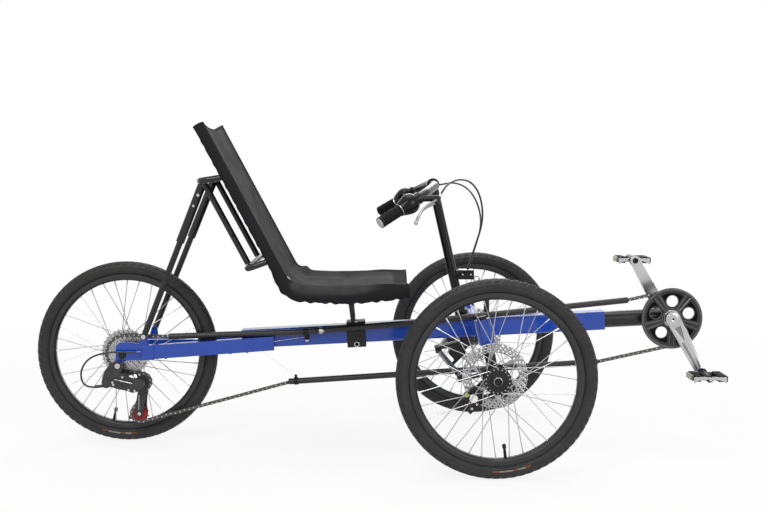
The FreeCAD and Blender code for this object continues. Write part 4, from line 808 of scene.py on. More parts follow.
class Wheels:
    """All three wheels with their rotors and axle ends."""

    def build(self) -> None:
        """Makes the wheels."""
        for name, side in SIDES:
            centre = Station.at(0, side * HALF_TRACK, WHEEL_RADIUS)
            Wheel(f"{name}_front", centre, flange_radius=33.0, flanges=(side * -26.0, side * 26.0),
                  valve_angle=7.0, label_angle=10.0).build()
            self._rotor(name, side, centre)
            self._rotor_bolts(name, side, centre)
            self._axle_cap(name, side, centre)
        centre = Station.at(REAR_STATION, 0, WHEEL_RADIUS)
        Wheel("rear", centre, flange_radius=30.0, flanges=(-21.0, 30.0), valve_angle=-12.0,
              label_angle=-5.4).build()
        self._cassette(centre)
        refine("rear_axle", BLACK_ALLOY, 0.0008)

    @staticmethod
    def _cassette(centre: Vector) -> None:
        """Eight sprockets with short teeth, spacers between them and rows of dark marks for piercings, with painted
        shade on the edges, the spacers and the marks.

        Args:
            centre: the rear wheel's centre in metres.
        """
        cogs, marks = [], []
        half_link, spacing, bore = 6.35, 0.0048, 17.6
        for place, teeth in enumerate((11, 13, 15, 18, 21, 24, 28, 32)):
            radius = half_link / math.sin(math.pi / teeth)
            deep = -4.4 if teeth == 24 else -2.4
            middle = centre + RIGHT * (0.040 + (5 - place) * spacing)
            outline = []
            for k in range(teeth):
                for share, rise in ((-0.30, deep), (0.30, deep), (0.42, 1.5), (0.58, 1.5)):
                    outline.append(around(math.pi + (k + share) * 2 * math.pi / teeth, (radius + rise) / 1000).xz)
                # painted shade: a dark mark stands for each piercing, as the shade seen through it
                spot = middle + around(math.pi + (k + 0.5) * 2 * math.pi / teeth, (radius - 5.6) / 1000)
                marks.append(Workshop.cylinder(spot + RIGHT * 0.0010, spot + RIGHT * 0.0007, 0.0014, sides=6))
            cogs.append(Workshop.pierced_disc(outline, bore / 1000, middle, 0.0018))
            if place:
                cogs.append(Workshop.lathe([(bore, 0.9), (21.0, 0.9), (21.0, 3.9), (bore, 3.9), (bore, 0.9)], middle,
                                           RIGHT, 40))
        made = Workshop.piece("cassette_cogs", cogs, COG_STEEL, "rear_wheel", SLOT_OF["cassette"], ["cassette"])
        # painted shade: faces that do not face across the machine, the teeth's edges and the spacers, get the
        # near-black steel
        Workshop.paint(made, [COG_SHADE], lambda face: abs(face.normal.y) < 0.5)
        Workshop.piece("cassette_piercings", marks, COG_SHADE, "rear_wheel", SLOT_OF["cassette"])

    @staticmethod
    def _rotor(name: str, side: int, centre: Vector) -> None:
        """A ground ring pierced by three rows of holes, on six slanted arms.

        Args:
            name: right or left.
            side: -1 for the right one, 1 for the left.
            centre: the wheel's centre in metres.
        """
        rows, arms = ((60.4, 64.4), (67.0, 71.0), (73.6, 77.6)), (26.0, 57.6)
        steps, arm_pitch, arm_steps, hole_pitch = 108, 18, 4, 3
        radii = [17.0, *arms, *(radius for row in rows for radius in row), 80.0]
        shape = bmesh.new()
        corners = [shape.verts.new((radius / 1000, 0, 0)) for radius in radii]
        edges = [shape.edges.new(pair) for pair in zip(corners, corners[1:])]
        bmesh.ops.spin(shape, geom=corners + edges, cent=(0, 0, 0), axis=LEFT, angle=2 * math.pi, steps=steps,
                       use_merge=True)
        bmesh.ops.remove_doubles(shape, verts=shape.verts, dist=1e-6)
        gone = []
        for face in shape.faces:
            middle = face.calc_center_median()
            step = int(math.degrees(math.atan2(middle.z, middle.x)) % 360 / (360 / steps))
            radius = middle.length * 1000
            row = next((k for k, (low, high) in enumerate(rows) if low < radius < high), None)
            between_arms = arms[0] < radius < arms[1] and step % arm_pitch >= arm_steps
            if between_arms or (row is not None and (step + row) % hole_pitch == 0):
                gone.append(face)
        bmesh.ops.delete(shape, geom=gone, context="FACES")
        for vert in shape.verts:
            lean = -side * 0.5 * max(0.0, min(1.0, (vert.co.length - 0.026) / 0.0316))
            vert.co = Matrix.Rotation(lean, 3, "Y") @ vert.co + centre + Vector((0, side * -0.045, 0))
        bmesh.ops.recalc_face_normals(shape, faces=shape.faces)
        node = f"{name}_brake_rotor"
        made = Workshop.piece(f"{node}_pierced", shape, ROTOR_STEEL, BODY_OF[node], SLOT_OF[node], [node])
        Workshop.thicken(made, "rotor_thickness", 0.0019)

    def _rotor_bolts(self, name: str, side: int, centre: Vector) -> None:
        """Six button bolts that hold a rotor to its hub."""
        shapes = []
        for k in range(6):
            spot = centre + around(math.radians(60 * k + 12), 0.022, side * -0.046)
            shapes.append(Workshop.lathe([(0, 3.0), (2.6, 2.6), (4.3, 1.2), (4.6, 0), (0, 0)], spot,
                                         RIGHT * side, 14))
        Workshop.piece(f"{name}_rotor_bolts", shapes, BLACK_ALLOY, f"{name}_wheel", "bare_steel")

    def _axle_cap(self, name: str, side: int, centre: Vector) -> None:
        """The bolt and washer on the outer end of a stub axle."""
        outward = LEFT * side
        start = centre + outward * 0.0340
        washer = Workshop.lathe([(6.3, 0.5), (10.5, 0.5), (10.8, 1.0), (10.5, 2.2), (9.6, 2.6), (6.3, 2.6)],
                                start, outward, 32)
        head = Workshop.lathe([(0, 1.5), (3.0, 1.5), (3.4, 6.0), (8.0, 6.0), (8.8, 5.2), (9.0, 2.8), (9.0, 0.5),
                               (0, 0.5)], start, outward, 6)
        Workshop.piece(f"{name}_axle_washer", washer, BRUSHED_STEEL, f"{name}_knuckle", "bare_steel", edge=0.0004)
        Workshop.piece(f"{name}_axle_bolt", head, MOULDED_BLACK, f"{name}_knuckle", "bare_steel", edge=0.0004)


# ------------------------------------------------------------------ seat cover
@dataclass
class SeatCover:
    """The stretched mesh cover: one cut of cloth sewn round both rails, with hems and stitches.

    Attributes:
        corners: the rails' line as (station, height) pairs in millimetres, from the top.
        bend: the rails' bend radius in millimetres.
        half: half of the width between the rails' centres.
        sleeve: the radius of the sleeve round a rail.
        thickness: the cloth's thickness in metres.
        rows: how many rows of faces run down the rails.
        line: the rows' places, normals and shares, filled in by build.
        TOP: how far the cloth would lie above the rails' centres without sagging, in millimetres.
    """

    corners: tuple = ((-738.0, 847.0), (-511.0, 427.0), (-360.0, 421.0), (-207.0, 436.0))
    bend: float = 70.0
    half: float = 190.0
    sleeve: float = 13.6
    thickness: float = 0.0014
    rows: int = 150
    line: list = field(default_factory=list)
    TOP: ClassVar[float] = 12.6

    def build(self) -> None:
        """Makes the cloth, its hems, its stitches and the small label."""
        self.line = self._centre_line()
        cloth = self._cloth()
        trims = [self._hem("top", 0), self._hem("front", len(self.line) - 1)]
        trims += [self._stitches(name, side) for name, side in SIDES]
        trims.append(self._tag())
        self._flat_width()
        log.info("seat cover")

    def _centre_line(self) -> list[tuple[Vector, Vector, float]]:
        """Rows down the rails: a point, the outward normal and the share of the way."""
        points = [Vector((x, 0, z)) for x, z in self.corners]
        line = [points[0]]
        for before, corner, after in zip(points, points[1:], points[2:]):
            into, out = (corner - before).normalized(), (after - corner).normalized()
            turn = into.angle(out)
            reach = self.bend * math.tan(turn / 2)
            for k in range(9):
                t = k / 8
                start, end = corner - into * reach, corner + out * reach
                line.append(start.lerp(corner, t).lerp(corner.lerp(end, t), t))
        line.append(points[-1])
        total = sum((b - a).length for a, b in zip(line, line[1:]))
        rows = []
        for k in range(self.rows + 1):
            want = total * k / self.rows
            for a, b in zip(line, line[1:]):
                span = (b - a).length
                if want <= span or b is line[-1]:
                    rows.append(a.lerp(b, min(1.0, want / span)))
                    break
                want -= span
        made = []
        for k, place in enumerate(rows):
            ahead = (rows[min(k + 1, self.rows)] - rows[max(k - 1, 0)]).normalized()
            made.append((place, Vector((-ahead.z, 0, ahead.x)), k / self.rows))
        return made

    @staticmethod
    def _ease(low: float, high: float, value: float) -> float:
        """0 below low, 1 above high, smooth between."""
        t = max(0.0, min(1.0, (value - low) / (high - low)))
        return t * t * (3 - 2 * t)

    def _sag(self, share: float, across: float) -> float:
        """How far the cloth lies behind the rails' tops, in millimetres.

        Args:
            share: 0 at the top hem, 1 at the front hem.
            across: -1 at the right rail, 1 at the left.

        Returns:
            The depth along the outward normal, towards the inside.
        """
        belly = 6.5 + 5.0 * self._ease(0.04, 0.2, share) - 4.5 * self._ease(0.45, 0.6, share)
        hollow = belly * (1 - abs(across) ** 2.4)
        hollow += 0.8 * math.sin(9.0 * share + 2.0) * (1 - across ** 2)
        for where, width, depth in ((0.560, 0.009, 11.0), (0.594, 0.011, -9.0), (0.632, 0.010, 9.0)):
            line = where + 0.020 * (1 - abs(across))
            hollow += depth * math.exp(-((share - line) / width) ** 2) * abs(across) ** 3 * (1.25 - abs(across))
        return hollow

    def _scoop(self, share: float, y: float) -> float:
        """How far the cut ends curve in towards the middle, in millimetres along the rails."""
        middle = max(0.0, 1 - (y / (self.half + 14.0)) ** 2)
        return middle * (14.0 * (1 - self._ease(0.0, 0.10, share)) - 6.0 * self._ease(0.86, 1.0, share))

    def _drop(self, share: float) -> float:
        """How far the sleeve hangs below a rail: a skirt along the seat base."""
        skirt = self._ease(0.50, 0.64, share) * (1 - 0.25 * self._ease(0.93, 1.0, share))
        ragged = math.sin(150.0 * share) + 0.7 * math.sin(233.0 * share + 1.0)
        return skirt * 10.0 + (0.5 + skirt) * ragged

    def _padding(self, share: float, y: float, height: float) -> float:
        """How much a soft pad over a rail lifts the cloth's top side, in millimetres."""
        pad = 7.0 * (self._ease(0.56, 0.64, share) - self._ease(0.90, 1.0, share))
        pad += (9.0 if y > 0 else 3.0) * math.exp(-((share - 0.617) / 0.024) ** 2)
        pad += 3.0 * math.exp(-((share - 0.80) / 0.045) ** 2)
        near = math.exp(-((abs(y) - self.half) / 26.0) ** 2)
        return pad * near * self._ease(-2.0, 12.0, height)

    def _profile(self, share: float) -> list[Point]:
        """The cloth's cross section as (place across, height along the normal)."""
        drop = self._drop(share)
        right = [(-self.half + 28.0, -self._sag(share, -1 + 28.0 / self.half) + 11.2), (-self.half + 21.0, 4.0)]
        for k in range(13):
            angle = math.radians(-35 - 235 * k / 12)
            low = max(0.0, -math.sin(angle))
            right.append((-self.half + self.sleeve * math.cos(angle) * (1 - 0.12 * low * drop / 10),
                          self.sleeve * math.sin(angle) - drop * low ** 1.3))
        top = [(-self.half + self.sleeve * math.cos(math.radians(a)), self.sleeve * math.sin(math.radians(a)))
               for a in (72.0, 58.0)]
        inner = self.half - self.sleeve * 1.6
        steps = 26
        spots = [-inner + 2 * inner * k / steps for k in range(steps + 1)]
        across = [(y, self.TOP - self._sag(share, y / self.half)) for y in spots]
        left = [(-y, h) for y, h in reversed(right + top)]
        return [(y, h + self._padding(share, y, h)) for y, h in right + top + across + left]

    def _cloth(self) -> bpy.types.Object:
        """The cloth itself, given a thickness, with the thread directions as UVs."""
        shape = bmesh.new()
        uv = shape.loops.layers.uv.new("threads")
        rows, places = [], {}
        for k in range(len(self.line)):
            section = self._section(k)
            row, run = [], 0.0
            for last, spot in zip(section[:1] + section, section):
                run += (spot - last).length
                row.append(shape.verts.new(spot))
                places[row[-1]] = (run, k * self._flat_length() / self.rows)
            rows.append(row)
        Workshop.skin(shape, rows, closed=False)
        for face in shape.faces:
            for loop in face.loops:
                loop[uv].uv = places[loop.vert]
        cloth = Workshop.piece("seat_cover", shape, SEAT_MESH, "frame", "seat_mesh", ["seat_back", "seat_base"])
        # painted shade: each point's share of the darker colour
        painted_shade = cloth.data.attributes.new("painted_shade", "FLOAT", "POINT")
        for vert in cloth.data.vertices:
            painted_shade.data[vert.index].value = self._painted_shade_share(vert.co)
        Workshop.thicken(cloth, "cloth_thickness", self.thickness)
        Workshop.shade(cloth.data, math.radians(60))
        return cloth

    def _painted_shade_share(self, spot: Vector) -> float:
        """How much painted shade a point of the cloth gets, from 0 to 1: on its sides round the rails, less where they
        are lit near the bend, and across the front fold.
        """
        place, normal, share = min(self.line, key=lambda row: (Station.of(row[0]) - spot).xz.length)
        base = Station.of(place)
        height = (spot - base).dot((Station.of(place + normal) - base).normalized()) * 1000
        dip = self._ease(0.585, 0.65, share) * (1 - self._ease(0.66, 0.96, share))
        side = self._ease(self.half - 13.0, self.half - 8.0, abs(spot.y) * 1000)
        fold = self._ease(0.945, 0.957, share) * self._ease(-130.0, -90.0, spot.y * 1000)
        lit = self._ease(4.0 - 14.0 * dip, 11.0 - 5.0 * dip, height) * self._ease(0.0, 0.3, dip)
        return max(fold, side * (1 - lit))

    def _flat_width(self) -> float:
        """The cut's width: once over the seat and round both rails, in metres."""
        profile = self._profile(0.3)
        return sum(math.dist(a, b) for a, b in zip(profile, profile[1:])) / 1000

    def _flat_length(self) -> float:
        """The cut's length down the rails, in metres."""
        return sum((b[0] - a[0]).length for a, b in zip(self.line, self.line[1:])) / 1000

    def _section(self, row: int) -> list[Vector]:
        """The cloth's cross section at a row of the line, in metres."""
        place, normal, share = self.line[row]
        ahead = Vector((normal.z, 0, -normal.x))
        return [Station.of(place + normal * height + ahead * self._scoop(share, y) + Vector((0, y, 0)))
                for y, height in self._profile(share)]

    def _hem(self, name: str, row: int) -> bpy.types.Object:
        """A turned hem along one cut end of the cloth."""
        shape = Workshop.rod(self._section(row), 0.0021, 8)
        return Workshop.piece(f"seat_cover_{name}_hem", shape, SEAT_BAND, "frame", "seat_mesh")

    def _stitches(self, name: str, side: int) -> bpy.types.Object:
        """Two rows of short stitches along the seam beside a rail."""
        shapes = []
        for offset in (24.5, 29.5):
            spots = []
            for place, normal, share in self.line:
                y = side * (self.half - offset)
                height = self.TOP - self._sag(share, y / self.half) + 0.9
                spots.append(Station.of(place + normal * height + Vector((0, y, 0))))
            for a, b in zip(spots[2:-2], spots[3:-1]):
                shapes.append(Workshop.cylinder(a.lerp(b, 0.15), a.lerp(b, 0.8), 0.00045, sides=5))
        return Workshop.piece(f"seat_cover_{name}_stitches", shapes, THREAD, "frame", "seat_mesh")

    def _tag(self) -> bpy.types.Object:
        """A small pale label sewn in at the bend beside the right rail."""
        row = int(self.rows * 0.582)
        place, normal, _ = self.line[row]
        ahead = (self.line[row + 1][0] - place).normalized()
        centre = Station.of(place + normal * 13.4 + Vector((0, 21.0 - self.half, 0)))
        turn = Matrix((ahead, LEFT, normal)).transposed().to_4x4()
        shape = Workshop.box((0.011, 0.015, 0.0012), centre, turn)
        return Workshop.piece("seat_cover_tag", shape, PALE_PLASTIC, "frame", "seat_mesh", edge=0.0004)


THREAD = Finish("seam_thread", (0.060, 0.060, 0.062), (0.040, 0.040, 0.041), 0.6, 0.1)


# ------------------------------------------------------------------ cockpit
class Cockpit:
    """Bar ends: ribbed grips, bulbous twist shifters, brake levers, and what sits on the column."""

    BODY = "steering"

    def build(self) -> None:
        """Makes both bar ends and the column's fittings."""
        refine("handlebar", BLACK_PAINT)
        refine("steering_column", COLUMN_BLACK, 0.0006)
        grips, shifters, brackets, blades, rings = [], [], [], [], []
        for name, side in SIDES:
            low, axis = self._bar_end(side)
            grips.append(self._grip(low, axis))
            rings.append(Workshop.lathe([(12.0, 58.3), (16.0, 58.3), (16.6, 59.3), (16.0, 60.5), (12.0, 60.5)], low,
                                        axis, 36))
            rings.append(Workshop.lathe([(0, 9.5), (3.8, 9.5), (3.8, 16.5), (2.9, 18.7), (0, 18.7)],
                                        Station.of(lever_pivot(side)), cable_way(side), 18))
            shifters.append(self._shifter(low, axis))
            brackets += self._lever_bracket(side, low, axis)
            blades.append(self._blade(side))
            cap = Workshop.lathe([(0, -3.2), (9.0, -3.2), (12.4, -2.4), (13.6, -0.6), (13.6, 1.0), (0, 1.0)],
                                 low + axis * -0.004, axis, 32)
            Workshop.piece(f"{name}_grip_cap", cap, PALE_PLASTIC, self.BODY, "grip_rubber")
        Workshop.piece("ribbed_grips", grips, GRIP_RUBBER, self.BODY, SLOT_OF["handgrips"], ["handgrips"])
        Workshop.piece("shifter_bulbs", shifters, GLOSSY_BLACK, self.BODY, SLOT_OF["twist_shifters"],
                       ["twist_shifters"])
        Workshop.piece("grip_rings", rings, SILVER_ALLOY, self.BODY, "silver_alloy")
        Workshop.piece("lever_brackets", brackets, SATIN_GREY, self.BODY, SLOT_OF["brake_levers"], ["brake_levers"],
                       0.0012, 3)
        Workshop.piece("lever_blades", blades, BLADE_ALLOY, self.BODY, "silver_alloy", edge=0.0009)
        self._column_bracket()
        log.info("cockpit")

    @staticmethod
    def _bar_end(side: int) -> tuple[Vector, Vector]:
        """The end of one side of the bar and the direction from it along the bar."""
        end = Station.at(-278, side * 290, 612)
        inner = Station.at(-172, side * 226, 678)
        return end, (inner - end).normalized()

    @staticmethod
    def _grip(end: Vector, axis: Vector) -> Shape:
        """A rubber grip with rows of round ribs."""
        profile = [(11.3, -5.0), (14.4, -5.0), (14.4, -2.0)]
        for low in range(-1, 52, 6):
            profile += [(14.4, low), (14.4, low + 3.0), (12.4, low + 3.8), (12.4, low + 5.4)]
        profile += [(14.3, 54.0), (14.3, 58.0), (11.3, 58.0)]
        return Workshop.lathe(profile, end, axis, 40)

    @staticmethod
    def _shifter(end: Vector, axis: Vector) -> Shape:
        """A glossy shifter body that swells towards the middle of the bar."""
        profile = [(11.3, 60.8), (16.4, 60.8), (17.4, 62.8), (19.4, 68.0), (22.4, 76.0), (24.8, 84.0), (25.8, 91.0),
                   (25.4, 97.0), (23.6, 102.5), (20.4, 107.0), (16.4, 109.6), (11.3, 110.2)]
        return Workshop.lathe(profile, end, axis, 44)

    @staticmethod
    def _lever_bracket(side: int, end: Vector, axis: Vector) -> list[Shape]:
        """The clamp round the bar and the body that carries the lever's pivot."""
        clamp = Workshop.lathe([(11.3, 111.0), (15.6, 111.0), (15.6, 124.0), (11.3, 124.0)], end, axis, 28)
        pivot = Station.of(lever_pivot(side))
        root = end + axis * 0.117
        body = Workshop.rod(Workshop.smooth_points(
            [root, root.lerp(pivot, 0.5) + Vector((0.002, 0, 0.003)), pivot + Vector((0.004, 0, 0.004))], 6),
            0.0085, 12)
        hinge = Workshop.cylinder(pivot + Vector((0, 0, 0.0095)), pivot - Vector((0, 0, 0.0095)), 0.0075, sides=20)
        stem = Workshop.lathe([(0, 0), (6.6, 0), (6.6, 7.0), (5.6, 7.6), (5.6, 10.5), (0, 10.5)], pivot,
                              cable_way(side), 20)
        return [clamp, body, hinge, stem]

    @staticmethod
    def _blade(side: int) -> Shape:
        """A flat two-finger blade that bends down from its pivot and ends in a ball."""
        bends = ((-152, 240, 656), (-172, 262, 646), (-186, 283, 628), (-194, 300, 611))
        line = Workshop.smooth_points([Station.of(lever_pivot(side)),
                                       *(Station.at(x, side * y, z) for x, y, z in bends)], 6)
        shape = bmesh.new()
        rings = []
        for k, place in enumerate(line):
            ahead = (line[min(k + 1, len(line) - 1)] - line[max(k - 1, 0)]).normalized()
            wide = Vector((0.55, 0.0, 0.83))
            wide = (wide - ahead * wide.dot(ahead)).normalized()
            thin = ahead.cross(wide)
            half = 0.0082 - 0.0030 * k / (len(line) - 1)
            rings.append([shape.verts.new(place + wide * a * half + thin * b * 0.0030)
                          for a, b in ((1, 0.4), (0.7, 1), (-0.7, 1), (-1, 0.4), (-1, -0.4), (-0.7, -1), (0.7, -1),
                                       (1, -0.4))])
        Workshop.skin(shape, rings)
        ball = bmesh.new()
        bmesh.ops.create_uvsphere(ball, u_segments=18, v_segments=12, radius=0.0052,
                                  matrix=Matrix.Translation(line[-1]))
        return Workshop.join([shape, ball])

    def _column_bracket(self) -> None:
        """The bright plate with its ring and two bolts on the bracket in front of the column."""
        foot = Station.at(-46, 0, 468)
        plate = Workshop.box((0.040, 0.026, 0.0022), foot + Vector((-0.004, 0, 0.0012)))
        ring = Workshop.lathe([(5.2, -3.0), (9.2, -3.0), (10.0, -1.4), (10.0, 1.4), (9.2, 3.0), (5.2, 3.0),
                               (5.2, -3.0)], foot + Vector((0.024, -0.010, -0.022)), LEFT, 32)
        bolts = [Workshop.lathe([(0, 2.6), (1.9, 2.4), (2.8, 1.4), (3.0, 0), (0, 0)],
                                foot + Vector((x, -0.0145, -0.011)), RIGHT, 6) for x in (-0.014, 0.008)]
        Workshop.piece("column_bracket_plate", [plate, ring, *bolts], BRUSHED_STEEL, self.BODY, "bare_steel",
                       edge=0.0006)


COLUMN_BLACK = Finish("gloss_black_column", (0.005, 0.005, 0.0055), grey(0.008), 0.16, 0.06, specular=0.28,
                      grain=600.0)
GLOSSY_BLACK = Finish("gloss_black_plastic", grey(0.004), grey(0.007), 0.14, 0.08, specular=0.18, relief=0.000008)
SATIN_GREY = Finish("satin_grey_alloy", (0.045, 0.045, 0.046), grey(0.016), 0.22, 0.12, metallic=1.0, patch=60.0,
                    grain=1400.0)
BLADE_ALLOY = Finish("lever_blade_alloy", grey(0.36), grey(0.26), 0.24, 0.1, metallic=1.0, patch=60.0, grain=1400.0)


# ------------------------------------------------------------------ cranks
@dataclass
class Cranks:
    """Chainring and guard, crank arms and pedals.

    Attributes:
        axle: the crank axle in metres.
        reach: from the axle to the right pedal's axle, in metres.
        ARM_FACE: the arms' outer faces, from the middle of the machine in millimetres.
        ARM_FLOOR: the floors of the arms' pockets, from the middle in metres.
        GUARD_FLOOR: where the guard's pocket floors end, across the machine in metres.
        SPROCKET_FACE: where the guard ends and the sprocket begins.
    """

    axle: Vector
    reach: Vector
    ARM_FACE: ClassVar[float] = 63.0
    ARM_FLOOR: ClassVar[float] = 0.0585
    GUARD_FLOOR: ClassVar[float] = -0.0476
    SPROCKET_FACE: ClassVar[float] = -0.0446

    def build(self) -> None:
        """Makes the moving drive parts at the front."""
        guard = refine("chainring", GUARD_PLASTIC, 0.0005)
        # painted shade: the floors of the guard's pockets get near black; the sprocket's faces get chain steel
        Workshop.paint(guard, [GUARD_RECESS_SHADE, CHAIN_STEEL],
                       lambda face: 2 if face.center.y > self.SPROCKET_FACE else face.center.y > self.GUARD_FLOOR)
        arms = refine("crankset", SILVER_ALLOY, 0.0006)
        # painted shade: the floors of the arms' pockets get the darker alloy
        Workshop.paint(arms, [SHADED_ALLOY], lambda face: abs(face.normal.y) > 0.9
                       and abs(abs(face.center.y) - self.ARM_FLOOR) < 0.0004)
        self._guard_ribs()
        self._arm_details()
        for name, _ in SIDES:
            self._pedal(name)
        refine("bottom_bracket", BLACK_ALLOY, 0.0008)
        self._bearing_cups()
        log.info("cranks")

    def _guard_ribs(self) -> None:
        """The raised rim of the guard and double ribs between its holes, in a lighter black as painted highlights."""
        guard_face = self.axle + RIGHT * 0.048
        shapes = [Workshop.lathe([(73.5, -0.5), (74.5, 1.4), (77.0, 2.0), (79.6, 1.4), (80.6, -0.6), (73.5, -0.5)],
                                 guard_face, RIGHT, 96),
                  Workshop.lathe([(23.0, -0.5), (23.6, 1.2), (26.6, 1.2), (27.4, -0.5), (23.0, -0.5)],
                                 guard_face, RIGHT, 64)]
        for k in range(5):
            middle = math.radians(54 + 72 * k)
            for lean in (-5.5, 5.5):
                start = guard_face + around(middle + math.radians(lean * 1.4), 27, -0.3) / 1000
                end = guard_face + around(middle + math.radians(lean), 73, -0.3) / 1000
                shapes.append(Workshop.cylinder(start, end, 0.0025, sides=10))
            centre = guard_face + around(math.radians(90 + 72 * k), 46, 1.3) / 1000
            shapes.append(Workshop.lathe([(15.1, -0.2), (15.3, 1.1), (17.0, 1.1), (17.6, -0.2), (15.1, -0.2)],
                                         centre, RIGHT, 40))
        Workshop.piece("guard_ribs", shapes, GUARD_RIB_HIGHLIGHT, "crank", SLOT_OF["chainring"])

    def _arm_details(self) -> None:
        """Ridges along the crank arms, bright on one side and painted shade on the other, painted shade in the crank
        bolts' sockets, black sleeves at the pedal eyes.
        """
        bright, shaded, dark = [], [], []
        for _, side in SIDES:
            outward = LEFT * side
            hub = self.axle + outward * (self.ARM_FACE + 1.0) / 1000
            bright.append(Workshop.lathe([(3.2, -0.4), (3.2, 0.8), (6.0, 1.6), (11.8, 1.4), (14.2, 1.0), (15.4, 0.5),
                                          (15.8, -0.4)], hub, outward, 40))
            # painted shade: a flat dark hexagon stands for the shade in the crank bolt's socket
            dark.append(Workshop.lathe([(0, 0.3), (3.3, 0.3), (3.3, -0.6)], hub, outward, 6))
            along = (self.reach * -side).normalized()
            across = Vector((along.z, 0, -along.x)) * -side
            face = self.axle + outward * self.ARM_FACE / 1000
            # painted shade: one ridge keeps the bright alloy, the one on the other side gets the darker copy
            for lean, shapes in ((-1, bright), (1, shaded)):
                shapes.append(Workshop.ridge(face + along * 0.068 + across * lean * 0.0064,
                                             face + along * 0.1485 + across * lean * 0.0046, across,
                                             outward * 0.0016, 0.0060, 0.0042))
            eye = self.axle + outward * 0.057 + self.reach * -side
            dark.append(Workshop.lathe([(0, 9.4), (4.6, 9.4), (5.6, 8.0), (12.6, 8.0), (14.4, 7.0), (14.7, 5.6),
                                        (14.7, -1.5), (13.9, -2.0)], eye, outward, 36))
            dark.append(Workshop.lathe([(0, 7.6), (7.2, 7.6), (7.8, 7.2), (7.8, 5.5)], eye, outward * -1, 32))
        Workshop.piece("crank_ridges", bright, SILVER_ALLOY, "crank", "silver_alloy")
        Workshop.piece("crank_shaded_facets", shaded, SHADED_ALLOY, "crank", "silver_alloy")
        Workshop.piece("crank_socket_shade_and_eye_sleeves", dark, MOULDED_BLACK, "crank", "silver_alloy")

    def _pedal(self, name: str) -> None:
        """A platform pedal: bright arched side plates, a black body with ribs, an end reflector."""
        node = f"{name}_pedal"
        low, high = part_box(node)
        centre = (low + high) / 2
        length, width = high.x - low.x, high.y - low.y
        plates = [Workshop.slab(self._plate_outline(length), centre + LEFT * end * (width / 2 - 0.0012), 0.0022)
                  for end in (-1, 1)]
        Workshop.piece(f"{node}_plates", plates, SILVER_ALLOY, node, SLOT_OF[node], [node], 0.0004)
        parts = [Workshop.lathe([(5.2, -36), (9.8, -36), (9.8, -26), (8.6, -22), (8.6, 22), (9.8, 26), (9.8, 38),
                                 (5.2, 38), (5.2, -36)], centre, LEFT, 28)]
        blocks = []
        for end in (-1, 1):
            blocks.append(((0.016, width - 0.007, 0.0125), end * 0.031, 0))
            blocks += [((0.020, 0.010, 0.009), end * 0.016, width * share) for share in (0.33, -0.33)]
            blocks += [((0.016, 0.0034, 0.0165), end * 0.031, (k - 4) * 0.0082) for k in range(9)]
        blocks.append(((0.0045, width - 0.004, 0.015), length / 2 - 0.0026, 0))
        parts += [Workshop.box(size, centre + Vector((x, y, 0))) for size, x, y in blocks]
        Workshop.piece(f"{node}_body", parts, MOULDED_BLACK, node, SLOT_OF[node], edge=0.0007)
        lens = Workshop.box((0.0060, 0.052, 0.0135), centre - Vector((length / 2 - 0.0034, 0, 0)))
        Workshop.piece(f"{node}_reflector", lens, REFLECTOR_YELLOW, node, SLOT_OF[node], edge=0.0009)

    @staticmethod
    def _plate_outline(length: float) -> list[Point]:
        """A pedal plate's edge: toothed above, arched below, with deep ends.

        Args:
            length: the plate's length in metres.

        Returns:
            The corners as (along, height) in metres.
        """
        reach = length / 2 - 0.0035
        steps = 32
        edge = [(reach * (2 * k / steps - 1), 0.0048 + 0.0010 * ((k // 2) % 2)) for k in range(steps + 1)]
        for k in range(steps + 1):
            share = 1 - 2 * k / steps
            arch = max(0.0, abs(share) - 0.28) / 0.72
            edge.append((reach * share, -0.0015 - 0.0098 * arch ** 2.2))
        return edge

    def _bearing_cups(self) -> None:
        """The threaded cups on both ends of the bottom bracket shell."""
        shapes = []
        for side in (-1, 1):
            outward = LEFT * side
            profile = [(10.0, 0.3), (19.4, 0.3), (20.2, 1.0), (20.2, 3.2), (19.0, 3.8), (11.0, 3.8)]
            shapes.append(Workshop.lathe(profile, self.axle + outward * 0.034, outward, 40))
        Workshop.piece("bearing_cups", shapes, BRUSHED_STEEL, "frame", "bare_steel")


GUARD_PLASTIC = Finish("guard_plastic", grey(0.012), grey(0.019), 0.26, 0.12, relief=0.000008, specular=0.35)
# painted shade: near black for the floors of the guard's pockets
GUARD_RECESS_SHADE = Finish("guard_recess_shade", grey(0.002), grey(0.004), 0.45, 0.12, grain=1500.0, relief=0.000008,
                      specular=0.04)
# painted highlight: a lighter glossy black for the guard's rim, ribs and bosses
GUARD_RIB_HIGHLIGHT = Finish("guard_rib_highlight", grey(0.045), grey(0.065), 0.12, 0.06, specular=0.6)
# painted shade: a darker copy of the polished alloy for the crank arms' shaded facets and pocket floors
SHADED_ALLOY = Finish("shaded_alloy", grey(0.24), grey(0.19), 0.3, 0.1, metallic=1.0, patch=30.0, relief=0.000002)
REFLECTOR_YELLOW = Finish("reflector_yellow", (0.20, 0.18, 0.09), (0.11, 0.10, 0.05), 0.2, 0.1, patch=500.0,
                          specular=0.5)


